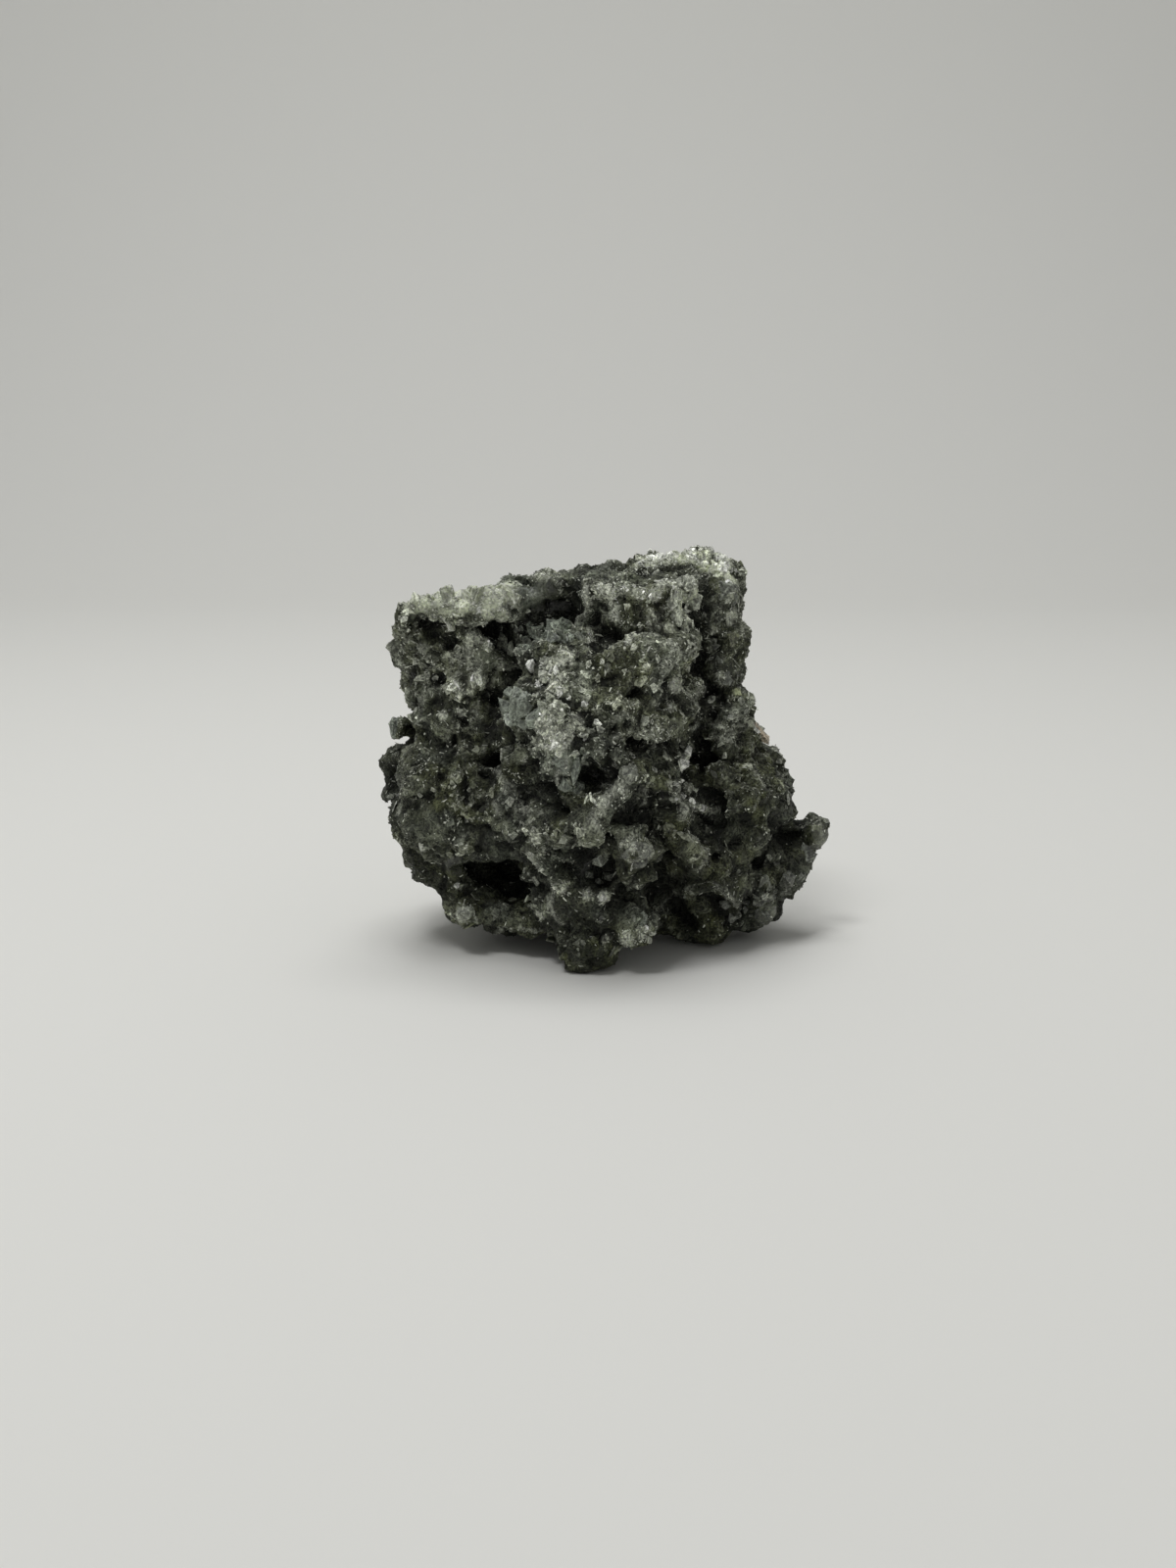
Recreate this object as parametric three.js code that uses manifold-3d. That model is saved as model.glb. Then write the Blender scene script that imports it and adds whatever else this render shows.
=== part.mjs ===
// Raw prehnite: a rough hand specimen, 75 mm wide, grown as one piece.
// A dark matrix carries knobbly lumps, pits and a blocky upper half, and prehnite crusts its rim
// and its front boss with tabular crystals. It stands on three small natural flats.
// Millimetres, +Z up, +X to the right and +Y away from the viewer of its best side.
import * as THREE from "three";
import { SimplexNoise } from "three/addons/math/SimplexNoise.js";
import { mergeVertices } from "three/addons/utils/BufferGeometryUtils.js";
import Module from "manifold-3d";

// Driving dimensions
const REACH = [44, 34, 70]; // half width, half depth and height of the space that the stone is carved in
const FLOOR_SUNK = 4; // how far that space goes below the resting plane
const LATTICE = 3.4; // spacing of the lattice that the skin is found on
const FACET_FRONT = 2.35; // shortest facet edge that is kept on the best side
const FACET_BACK = 3.6; // and on the side that faces away
const MASS_BLEND = 4; // how softly the large masses run into each other
const LUMP_BLEND = 0.7; // how sharp the creases between lumps are
const PIT_BLEND = 0.8;
const ROUGHNESS = [
  { wavelength: 9, height: 1.1 },
  { wavelength: 4.2, height: 0.6 },
];
const KNOBS = { wavelength: 8, front: 0.4, back: 1.4 }; // rounded knobs with creases between them
const STONE_COLOUR = 0x565d52;

// The large masses that give the outline
const MASSES = [
  { name: "upper block", at: [-9, 5.5, 40], half: [20, 14, 14.4], round: 4.5, turn: [-5, -1, 0] },
  { name: "upper middle", at: [2, 5, 48], half: [11, 12, 11.4], round: 4, turn: [-5, 0, 0] },
  { name: "right wall", at: [14, 9, 45.6], half: [7.4, 12, 15.4], round: 3.5, turn: [-4, 0, 0] },
  { name: "foot mass", at: [-3, 5, 22], radii: [27, 18, 16] },
  { name: "right flank", at: [18.6, 4, 19], radii: [13, 15, 16] },
  { name: "left bulge", at: [-21.6, -1, 22.6], radii: [12.4, 12.4, 12.4] },
  { name: "back", at: [-2, 15, 30], radii: [24, 14, 22] },
  { name: "boss", at: [-1.4, -8.6, 38], radii: [14, 14, 15.6] },
  { name: "boss foot", at: [-2.6, -10.4, 24], radii: [13, 11.5, 9] },
  { name: "snout", at: [-2.4, -11, 11], radii: [8, 9.5, 10] },
];

// Lumps, ridges and ledges that stand on the masses
const LUMPS = [
  // pale rim along the top left
  { name: "rim corner", at: [-29, -6, 54], radii: [3.6, 4.6, 3] },
  { name: "rim left", at: [-24.6, -7.6, 54.8], radii: [4.4, 4.6, 2.8] },
  { name: "rim middle", at: [-19.4, -8.4, 55.4], radii: [4.2, 4.6, 2.8] },
  { name: "rim right", at: [-14.6, -9.2, 56.2], radii: [3.2, 4.6, 2.8] },
  { name: "rim tail", at: [-28, 4, 53.4], radii: [4.4, 6, 2.4] },
  // top centre and crest
  { name: "top bump", at: [-7, -6.6, 59.6], radii: [5, 4.6, 3] },
  { name: "cavity back", at: [-12.6, -4, 57.6], radii: [4.4, 4.4, 3] },
  { name: "top plate", at: [3.4, -8.6, 54], half: [7.6, 6.2, 7.4], round: 1.2, turn: [3, 0, 3] },
  { name: "crest left", at: [8.6, 0, 60.4], radii: [5, 6, 2.4] },
  { name: "crest peak", at: [12.8, 4, 61.2], radii: [5, 6, 2.6] },
  { name: "crest right", at: [17.6, 3, 59.4], radii: [4, 5, 3] },
  { name: "hanging block", at: [13.6, -5, 56.4], half: [2.3, 3, 3.6], round: 0.9, turn: [0, 6, 12] },
  // right wall, seen past the boss
  { name: "wall head", at: [19.6, 2, 55], radii: [3.6, 5, 4.4] },
  { name: "wall shoulder", at: [20, 2, 48.6], radii: [3, 4.6, 2.8] },
  { name: "wall middle", at: [19, 0.6, 43.2], radii: [4, 4.6, 3.4] },
  { name: "wall low", at: [20, 1.4, 37.4], radii: [4.4, 5, 3.6] },
  { name: "wall rib", at: [15.4, -2.4, 38], radii: [2, 3.2, 5] },
  // left panel under the rim
  { name: "panel upper", at: [-27, -7.4, 48.6], radii: [4, 3, 3.6] },
  { name: "panel face", at: [-21, -7.8, 46.4], half: [3.8, 2.8, 4.8], round: 1.2, turn: [0, 14, 10] },
  { name: "panel left", at: [-29, -5.6, 41.6], radii: [3.2, 4, 3.6] },
  { name: "panel middle", at: [-24, -7.8, 38.6], radii: [4, 3.2, 3.2] },
  { name: "panel right", at: [-18.6, -7.4, 37], radii: [3, 3.6, 3.8] },
  { name: "panel edge", at: [-30.4, -1, 49], radii: [2.2, 4.6, 4.6] },
  { name: "edge knob", at: [-31.4, 0, 42.4], radii: [2, 3.6, 2.2] },
  { name: "edge crystal", at: [-32, 0, 35.6], half: [2.6, 2.4, 1.8], round: 0.3, turn: [10, 24, 8] },
  // left bulge, with its side lobe
  { name: "bulge upper left", at: [-28, -6.8, 29], radii: [4.8, 5, 4.8] },
  { name: "bulge upper right", at: [-21.8, -8.8, 28.6], radii: [4, 4.2, 4] },
  { name: "bulge lower left", at: [-27.8, -6.6, 20.6], radii: [5, 5, 5] },
  { name: "bulge lower right", at: [-20.6, -9.8, 21], radii: [3.8, 4.2, 3.6] },
  { name: "bulge inner", at: [-16, -12, 24.6], radii: [3.2, 3.8, 4] },
  { name: "side lobe", at: [-33.4, 3.4, 27], radii: [3.6, 4.8, 5] },
  { name: "lower edge", at: [-27.6, -2, 13.6], radii: [4.4, 5, 4.8] },
  // the boss
  { name: "dome", at: [4.2, -16.4, 47.6], radii: [6.8, 5.2, 4.6] },
  { name: "dome left", at: [-5, -16, 47.8], radii: [4.8, 4.8, 4.2] },
  { name: "boss edge top", at: [11.8, -10.4, 49.4], radii: [2.8, 4, 4] },
  { name: "boss edge upper", at: [12.4, -11.4, 43.6], radii: [2.6, 4, 3.2] },
  { name: "boss edge lower", at: [12.4, -12, 38], radii: [2.8, 4, 3.4] },
  { name: "boss edge foot", at: [11.4, -13.4, 32.6], radii: [2.8, 4, 3.2] },
  { name: "white swell", at: [-7, -19, 41], radii: [4.8, 4.4, 5.2] },
  { name: "white brow", at: [-9.4, -16.8, 44.6], radii: [3.8, 4, 2.8] },
  { name: "boss middle", at: [2, -19.6, 42], radii: [5, 4.2, 3.8] },
  { name: "boss right", at: [8, -17.4, 38.4], radii: [4.6, 4.4, 4] },
  { name: "boss low", at: [1.6, -20.4, 36.2], radii: [4.6, 4, 2.8] },
  { name: "boss left foot", at: [-13, -14.4, 33.4], radii: [3, 4.4, 4.8] },
  { name: "hanging column", from: [-7, -20.4, 38], to: [-7.4, -20.6, 27.4], radius: 2.4 },
  { name: "slanting bar", from: [-4.4, -23, 24.4], to: [6, -21.4, 32.6], radius: 2.6 },
  { name: "bar shoulder", at: [9.4, -17, 30.4], radii: [3.8, 4.4, 3.4] },
  { name: "long ledge", from: [-9.6, -18, 22.4], to: [4.6, -20.6, 22], radius: 2.9 },
  { name: "left rib", from: [-14.8, -13.6, 29.6], to: [-8, -16, 15], radius: 2.2 },
  // the cup under the boss and the snout below it
  { name: "cup left", at: [-6.4, -18, 17], radii: [3, 3.8, 3.2] },
  { name: "cup right", at: [5.8, -19, 17.6], radii: [3.4, 3.8, 3.8] },
  { name: "snout left", at: [-7.4, -15.6, 9.2], radii: [3.4, 3.8, 3.4] },
  { name: "snout middle", at: [-1.8, -18, 9], radii: [4, 3.8, 3.8] },
  { name: "snout overhang", at: [4, -17, 8], radii: [4.6, 4.4, 3.2] },
  { name: "toe", at: [-2.6, -18, 2.6], radii: [4.8, 4.6, 3.6] },
  // right flank with its spur
  { name: "flank ridge", from: [10.6, -14.6, 24.6], to: [16, -10.4, 9], radius: 2.9 },
  { name: "flank knob", at: [19.6, -6.6, 26.4], radii: [3.4, 3.8, 3.2] },
  { name: "flank shelf", at: [22.6, -5.4, 19.6], radii: [3.8, 4.2, 3.2] },
  { name: "flank upper edge", at: [27.2, 4.4, 28.2], radii: [3.4, 4.8, 4.2] },
  { name: "flank middle edge", at: [29, 4.4, 21.6], radii: [3.2, 4.8, 4.2] },
  { name: "flank low", at: [19.6, -7.4, 11], radii: [4, 4.2, 3.8] },
  { name: "flank low edge", at: [28, 1, 10], radii: [4.6, 5, 5] },
  { name: "flank toe", at: [24.4, 1, 5.2], radii: [5.4, 5.4, 4.6] },
  { name: "spur", from: [28, 4, 13.6], to: [34.4, 5.2, 16], radius: 3.1 },
  { name: "spur belly", at: [31, 4.4, 12.6], radii: [4, 4, 3.6] },
  { name: "spur tip", at: [35.6, 5.6, 17.2], half: [2.6, 2, 1.7], round: 0.5, turn: [16, -24, 10] },
  // lip of the cave and the feet
  { name: "cave lip", from: [-24.6, -6.4, 8.4], to: [-11, -11, 5.6], radius: 2.9 },
  { name: "right foot", at: [16.6, -1.4, 4], radii: [7, 6.4, 4.4] },
  { name: "sill behind the snout", at: [8, 0, 5.6], radii: [6.4, 6.4, 5] },
  { name: "left foot", at: [-13, 13, 5.4], radii: [9.5, 8.5, 6.2] },
  { name: "sill at the back", at: [4, 13, 9], radii: [12, 9, 6.5] },
  { name: "cave floor", at: [-15, -2, 6.4], radii: [10.5, 7, 4.6] },
];

// Pits, clefts and hollows cut back out of it
const PITS = [
  { name: "cleft left of the boss", at: [-16.8, -12.4, 45.4], radii: [1.3, 6, 8.4] },
  { name: "dark hole", at: [-15.8, -11.6, 43.4], radii: [1.9, 6, 2.1] },
  { name: "lower cleft", at: [-16.4, -13, 35.4], radii: [1.3, 4.6, 5.6] },
  { name: "hollow under the rim", at: [-19.4, -10.8, 51.4], radii: [5.4, 3.8, 1.6] },
  { name: "step under the rim", at: [-26.6, -11.4, 51.2], radii: [4, 2.4, 1.2] },
  { name: "smooth cavity", from: [-13, -12.6, 56.4], to: [-7, -10.6, 56], radius: 2.2 },
  { name: "cavity end", at: [-5, -12.4, 56], radii: [1.6, 4, 1.5] },
  { name: "pit in the top plate", at: [-0.4, -15, 52.4], radii: [2.8, 3.2, 2] },
  { name: "cleft right of the boss", at: [15, -7.4, 45.6], radii: [1.6, 8, 11.4] },
  { name: "cleft foot", at: [16.6, -8, 31.4], radii: [2.4, 7, 2.6] },
  { name: "flank hole", at: [17, -8, 23.2], radii: [2.2, 6, 2.4] },
  { name: "flank slot", at: [24.6, -3.4, 15.6], radii: [4.4, 4, 1.5] },
  { name: "boss dimple", at: [5.4, -22, 40.4], radii: [2.4, 2.2, 2] },
  { name: "boss crease", from: [-2.6, -21.8, 45.4], to: [-1.4, -23, 37], radius: 1 },
  { name: "pit left of the column", at: [-10.8, -19.6, 29], radii: [2.1, 6, 3.2] },
  { name: "pit right of the column", at: [-2.8, -22.6, 30.4], radii: [2.9, 6, 2.4] },
  { name: "cup", at: [-0.6, -21.4, 16.6], radii: [3, 4.4, 2.4] },
  { name: "slit under the cup", from: [6.6, -20, 13], to: [0.4, -21.6, 12.2], radius: 0.9 },
  { name: "low hollow", at: [9.4, -13, 5], radii: [2.4, 4.4, 2.6] },
  { name: "cave", from: [-19.6, -7.4, 14.2], to: [-12.4, -8.4, 12], radius: 3.5 },
  { name: "cave depth", from: [-17.4, -9, 13.2], to: [-15.4, 0, 13.6], radius: 3 },
  { name: "notch behind the bulge", at: [-34, -1.6, 27.4], radii: [1.3, 3, 2.4] },
  { name: "edge notch", at: [-33, -2, 38.6], radii: [2, 5, 1.3] },
];

// The sides that face away are covered by a spiral of like lumps and pits
const BACK_CENTRE = [-2, 6, 32];
const BACK_LUMPS = { count: 64, least: 2.8, most: 5.6, sunk: 0.5 };
const BACK_PITS = { count: 24, least: 1.4, most: 2.8, sunk: 0.1 };
const FRONT_EDGE = 0.02; // how far round towards the viewer the spiral reaches, as a share
const GOLDEN_ANGLE = Math.PI * (3 - Math.sqrt(5));

// Groups of tabular crystals: where they root, which side they spread over, how many and how large
const CRYSTALS = [
  { name: "rim corner", at: [-28, -9, 55], point: [-0.3, -1, 0.6], count: 3, size: 4, spread: 3 },
  { name: "rim", at: [-20, -11, 56], point: [0, -1, 0.6], count: 4, size: 4, spread: 5 },
  { name: "top bump", at: [-7, -10, 59], point: [-0.2, -1, 0.7], count: 3, size: 3, spread: 3 },
  { name: "crest", at: [12, 0, 61], point: [0, -0.6, 1], count: 5, size: 4, spread: 5 },
  { name: "plates by the cleft", at: [-12, -14, 50.4], point: [-0.4, -1, 0.3], count: 5, size: 4.6, spread: 3 },
  { name: "blue pair", at: [-13.6, -16, 41], point: [-0.6, -1, 0.2], count: 3, size: 4, spread: 2 },
  { name: "boss front", at: [-1, -22, 41], point: [0, -1, 0.3], count: 5, size: 3.6, spread: 6 },
  { name: "boss edge", at: [12.6, -15, 38], point: [0.7, -1, 0.1], count: 4, size: 3.4, spread: 5 },
  { name: "cup blocks", at: [0, -20, 16], point: [0, -1, 0.3], count: 5, size: 3, spread: 3 },
  { name: "cup right", at: [6, -22, 17.6], point: [0.1, -1, 0.3], count: 2, size: 3.2, spread: 2 },
  { name: "panel", at: [-24, -11, 44], point: [-0.1, -1, 0.1], count: 4, size: 3.4, spread: 6 },
  { name: "left bulge", at: [-25, -13, 26], point: [-0.3, -1, 0.2], count: 4, size: 3.4, spread: 6 },
  { name: "cave lip", at: [-18, -12, 7.4], point: [0, -1, 0.2], count: 3, size: 3.2, spread: 4 },
  { name: "overhang", at: [3, -21, 8], point: [0.1, -1, 0], count: 4, size: 3, spread: 4 },
  { name: "right wall", at: [20, -2, 50], point: [0.6, -1, 0.1], count: 4, size: 3.6, spread: 6 },
  { name: "right flank", at: [24, -10, 20], point: [0.5, -1, 0.3], count: 4, size: 3.6, spread: 7 },
  { name: "back crust", at: [-6, 26, 40], point: [0, 1, 0.2], count: 6, size: 5, spread: 9 },
  { name: "back shoulder", at: [16, 20, 34], point: [0.7, 1, 0], count: 5, size: 4.6, spread: 8 },
];
const CRYSTAL_WIDTH = 0.62; // width and thickness as shares of a crystal's length
const CRYSTAL_THICKNESS = 0.44;
const CRYSTAL_TAPER = 0.8; // how much smaller the outer face is than the root
const CRYSTAL_UNEVENNESS = 0.09; // how far the corners stray, as a share of the length
const CRYSTAL_LEAN = 0.45; // how far a crystal may lean from square on the surface
const CRYSTAL_SUNK = 0.38; // share of a crystal's thickness that stays inside the stone at its middle
const CRYSTAL_ROOT = 0.15; // least share of its bulk that has to be in the stone for it to hold

// A generator of repeatable random numbers from 0 to 1.
function seededRandom(seed) {
  let state = seed;
  return () => {
    state = (state * 16807) % 2147483647;
    return (state - 1) / 2147483646;
  };
}

const noise = new SimplexNoise({ random: seededRandom(7) });

// The point moved by the roughness, so that every feature gets an uneven surface.
function roughened(p) {
  const q = p.clone();
  ROUGHNESS.forEach(({ wavelength, height }, layer) => {
    const [x, y, z] = [p.x / wavelength, p.y / wavelength, p.z / wavelength + 31 * layer];
    q.x += height * noise.noise3d(x, y, z);
    q.y += height * noise.noise3d(y + 17, z, x);
    q.z += height * noise.noise3d(z, x + 53, y);
  });
  return q;
}

// Each feature as a signed distance: negative inside.
function ellipsoidDistance(centre, radii) {
  return (p) => {
    const x = (p.x - centre.x) / radii[0];
    const y = (p.y - centre.y) / radii[1];
    const z = (p.z - centre.z) / radii[2];
    const nearness = Math.hypot(x, y, z);
    const slope = Math.hypot(x / radii[0], y / radii[1], z / radii[2]);
    return slope < 1e-9 ? -Math.min(...radii) : (nearness * (nearness - 1)) / slope;
  };
}

function blockDistance(centre, half, round, turn) {
  const degrees = turn.map(THREE.MathUtils.degToRad);
  const back = new THREE.Quaternion().setFromEuler(new THREE.Euler(...degrees)).invert();
  const core = half.map((h) => h - round);
  return (p) => {
    const q = p.clone().sub(centre).applyQuaternion(back);
    const over = [Math.abs(q.x) - core[0], Math.abs(q.y) - core[1], Math.abs(q.z) - core[2]];
    const outside = Math.hypot(...over.map((o) => Math.max(o, 0)));
    return outside + Math.min(Math.max(...over), 0) - round;
  };
}

function barDistance(start, end, radius) {
  const line = new THREE.Line3(start, end);
  const nearest = new THREE.Vector3();
  return (p) => line.closestPointToPoint(p, true, nearest).distanceTo(p) - radius;
}

function distanceOf(feature) {
  if (feature.from) {
    return barDistance(new THREE.Vector3(...feature.from), new THREE.Vector3(...feature.to), feature.radius);
  }
  const centre = new THREE.Vector3(...feature.at);
  return feature.half
    ? blockDistance(centre, feature.half, feature.round, feature.turn)
    : ellipsoidDistance(centre, feature.radii);
}

// The smaller of two distances, rounded off where they meet.
function blended(a, b, width) {
  const h = Math.max(width - Math.abs(a - b), 0) / width;
  return Math.min(a, b) - (h * h * width) / 4;
}

function unionOf(features, width) {
  const distances = features.map(distanceOf);
  return (p) => distances.reduce((least, distance) => blended(least, distance(p), width), 1e3);
}

const massField = unionOf(MASSES, MASS_BLEND);

// Lumps or pits spread in a spiral over the sides that face away, each on the surface of the masses.
function spiralOver({ count, least, most, sunk }, seed) {
  const random = seededRandom(seed);
  const centre = new THREE.Vector3(...BACK_CENTRE);
  return Array.from({ length: count }, (_, i) => {
    const away = 1 - (1 - FRONT_EDGE) * ((i + 0.5) / count);
    const across = Math.sqrt(1 - away * away);
    const angle = i * GOLDEN_ANGLE + random();
    const heading = new THREE.Vector3(across * Math.cos(angle), away, across * Math.sin(angle));
    const radii = [0, 1, 2].map(() => least + (most - least) * random());
    const p = centre.clone();
    while (massField(p) < -sunk * radii[1]) {
      p.addScaledVector(heading, 0.5);
    }
    return { at: p.toArray(), radii };
  });
}

const lumpField = unionOf([...LUMPS, ...spiralOver(BACK_LUMPS, 11)], LUMP_BLEND);
const pitField = unionOf([...PITS, ...spiralOver(BACK_PITS, 23)], PIT_BLEND);

// How far the knobs stand out at a point. They are larger where the stone faces away.
function knobHeight(p) {
  const { wavelength, front, back } = KNOBS;
  const reach = THREE.MathUtils.lerp(front, back, THREE.MathUtils.smoothstep(p.y, -6, 8));
  const wave = noise.noise3d(p.x / wavelength, p.y / wavelength, p.z / wavelength);
  return reach * (2 * Math.abs(wave) - 0.6);
}

function stoneField(p) {
  const q = roughened(p);
  const full = blended(massField(q), lumpField(q), LUMP_BLEND) - knobHeight(p);
  return -blended(-full, pitField(q), PIT_BLEND);
}

// The closed skin where the field is zero, found on a body-centred cubic lattice: every pair of
// neighbouring cell centres makes four tetrahedra with the edges of the face between them.
function skinOf(field, low, high, step) {
  const cells = low.map((l, k) => Math.ceil((high[k] - l) / step));
  const sites = new Map();
  function site(i, j, k, shift) {
    const key = `${i},${j},${k},${shift}`;
    if (!sites.has(key)) {
      const at = new THREE.Vector3(
        low[0] + (i + shift) * step,
        low[1] + (j + shift) * step,
        low[2] + (k + shift) * step,
      );
      sites.set(key, { id: sites.size, at, value: field(at) });
    }
    return sites.get(key);
  }

  const points = [];
  const crossings = new Map();
  function crossing(inner, outer) {
    const key = inner.id < outer.id ? `${inner.id},${outer.id}` : `${outer.id},${inner.id}`;
    if (!crossings.has(key)) {
      const share = THREE.MathUtils.clamp(inner.value / (inner.value - outer.value), 0.12, 0.88);
      crossings.set(key, points.length);
      points.push(inner.at.clone().lerp(outer.at, share));
    }
    return crossings.get(key);
  }

  const faces = [];
  function addFace(a, b, c, outward) {
    const normal = new THREE.Triangle(points[a], points[b], points[c]).getNormal(new THREE.Vector3());
    faces.push(normal.dot(outward) > 0 ? [a, b, c] : [a, c, b]);
  }
  function cutTetrahedron(corners) {
    const inner = corners.filter((s) => s.value < 0);
    const outer = corners.filter((s) => s.value >= 0);
    if (!inner.length || !outer.length) {
      return;
    }
    const middle = (group) =>
      group.reduce((sum, s) => sum.add(s.at), new THREE.Vector3()).divideScalar(group.length);
    const outward = middle(outer).sub(middle(inner));
    if (inner.length === 2) {
      const [a, b] = inner;
      const [c, d] = outer;
      const ring = [crossing(a, c), crossing(a, d), crossing(b, d), crossing(b, c)];
      addFace(ring[0], ring[1], ring[2], outward);
      addFace(ring[0], ring[2], ring[3], outward);
      return;
    }
    const ring = inner.flatMap((a) => outer.map((b) => crossing(a, b)));
    addFace(...ring, outward);
  }

  const axes = [
    [1, 0, 0],
    [0, 1, 0],
    [0, 0, 1],
  ];
  for (let i = 0; i < cells[0]; i++) {
    for (let j = 0; j < cells[1]; j++) {
      for (let k = 0; k < cells[2]; k++) {
        for (const [n, axis] of axes.entries()) {
          const centres = [site(i, j, k, 0.5), site(i + axis[0], j + axis[1], k + axis[2], 0.5)];
          const across = axes[(n + 1) % 3];
          const up = axes[(n + 2) % 3];
          const rim = [
            [0, 0],
            [1, 0],
            [1, 1],
            [0, 1],
          ].map(([s, t]) =>
            site(...[i, j, k].map((base, m) => base + axis[m] + s * across[m] + t * up[m]), 0),
          );
          rim.forEach((corner, m) => cutTetrahedron([...centres, corner, rim[(m + 1) % 4]]));
        }
      }
    }
  }
  return { points, faces };
}

// Which corners each corner shares an edge with.
function neighboursOf({ points, faces }) {
  const neighbours = points.map(() => new Set());
  faces.forEach(([a, b, c]) => {
    neighbours[a].add(b).add(c);
    neighbours[b].add(a).add(c);
    neighbours[c].add(a).add(b);
  });
  return neighbours;
}

// Merges the ends of edges that are too short, shortest first, where the skin stays closed and simple.
function thinned({ points, faces }, shortestAt, passes) {
  const corners = points.map((p) => p.clone());
  let left = faces;
  for (let pass = 0; pass < passes; pass++) {
    const neighbours = neighboursOf({ points: corners, faces: left });
    const short = [];
    neighbours.forEach((set, a) =>
      set.forEach((b) => {
        const length = corners[a].distanceTo(corners[b]);
        if (a < b && length < shortestAt(corners[a])) {
          short.push({ a, b, length });
        }
      }),
    );
    short.sort((one, other) => one.length - other.length);
    const busy = new Set();
    const keeper = corners.map((_, n) => n);
    short.forEach(({ a, b }) => {
      const around = [a, b, ...neighbours[a], ...neighbours[b]];
      const shared = [...neighbours[a]].filter((n) => neighbours[b].has(n));
      if (shared.length !== 2 || around.some((n) => busy.has(n))) {
        return;
      }
      around.forEach((n) => busy.add(n));
      corners[a].lerp(corners[b], 0.5);
      keeper[b] = a;
    });
    left = left
      .map((face) => face.map((n) => keeper[n]))
      .filter(([a, b, c]) => a !== b && b !== c && c !== a);
  }
  const used = [...new Set(left.flat())];
  const place = new Map(used.map((n, order) => [n, order]));
  return { points: used.map((n) => corners[n]), faces: left.map((face) => face.map((n) => place.get(n))) };
}

// Which way a field grows, taken over a short distance to either side.
function slopeAt(p, field, probe) {
  return new THREE.Vector3(
    ...[0, 1, 2].map((axis) => {
      const ahead = p.clone().setComponent(axis, p.getComponent(axis) + probe);
      const behind = p.clone().setComponent(axis, p.getComponent(axis) - probe);
      return (field(ahead) - field(behind)) / (2 * probe);
    }),
  );
}

// The point moved straight to the surface of a field, a short way at most.
function settled(p, field, furthest) {
  const slope = slopeAt(p, field, 0.15);
  const steepness = Math.max(slope.lengthSq(), 0.2);
  return p.clone().addScaledVector(slope, THREE.MathUtils.clamp(-field(p) / steepness, -furthest, furthest));
}

// Evens out the triangles, and brings each corner back to the surface after every pass.
function relaxed({ points, faces }, field, passes) {
  const neighbours = neighboursOf({ points, faces });
  let corners = points;
  for (let pass = 0; pass < passes; pass++) {
    const before = corners;
    corners = before.map((p, n) => {
      const middle = new THREE.Vector3();
      neighbours[n].forEach((m) => middle.add(before[m]));
      return settled(p.clone().lerp(middle.divideScalar(neighbours[n].size), 0.5), field, 1);
    });
  }
  return { points: corners, faces };
}

const wasm = await Module();
wasm.setup();

// A box whose faces share their corners, so that it is closed.
function withSharedCorners(box) {
  box.deleteAttribute("normal");
  box.deleteAttribute("uv");
  return mergeVertices(box);
}

// A closed geometry as a solid for joining and cutting, and back again.
function solidFrom(geometry) {
  const { position } = geometry.attributes;
  return new wasm.Manifold(
    new wasm.Mesh({
      numProp: 3,
      vertProperties: new Float32Array(position.array),
      triVerts: new Uint32Array(geometry.index.array),
    }),
  );
}

function geometryFrom(solid) {
  const { vertProperties, triVerts } = solid.getMesh();
  const geometry = new THREE.BufferGeometry();
  geometry.setAttribute("position", new THREE.BufferAttribute(vertProperties, 3));
  geometry.setIndex(new THREE.BufferAttribute(triVerts, 1));
  return geometry;
}

// The bare stone: a fine skin first, thinned to facets that are smallest on the best side.
function skinGeometry() {
  const low = [-REACH[0], -REACH[1], -FLOOR_SUNK];
  const fine = relaxed(skinOf(stoneField, low, REACH, LATTICE), stoneField, 2);
  const facetAt = (p) => {
    const away = THREE.MathUtils.smoothstep(p.y, -4, 14);
    return THREE.MathUtils.lerp(FACET_FRONT, FACET_BACK, away);
  };
  const { points, faces } = relaxed(thinned(fine, facetAt, 14), stoneField, 5);
  const geometry = new THREE.BufferGeometry().setFromPoints(points);
  geometry.setIndex(faces.flat());
  return geometry;
}

// One tabular crystal: a tablet with a drawn-in outer face and uneven corners.
function crystalGeometry(size, random) {
  const thickness = size * CRYSTAL_THICKNESS * (0.8 + 0.5 * random());
  const width = size * CRYSTAL_WIDTH * (0.8 + 0.4 * random());
  const geometry = withSharedCorners(new THREE.BoxGeometry(size, thickness, width));
  const corners = geometry.attributes.position;
  const stray = () => size * CRYSTAL_UNEVENNESS * (2 * random() - 1);
  for (let n = 0; n < corners.count; n++) {
    const drawnIn = corners.getY(n) > 0 ? CRYSTAL_TAPER : 1;
    const x = corners.getX(n) * drawnIn + stray();
    const z = corners.getZ(n) * drawnIn + stray();
    corners.setXYZ(n, x, corners.getY(n) + stray(), z);
  }
  return geometry.translate(0, thickness * (0.5 - CRYSTAL_SUNK), 0);
}

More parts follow.
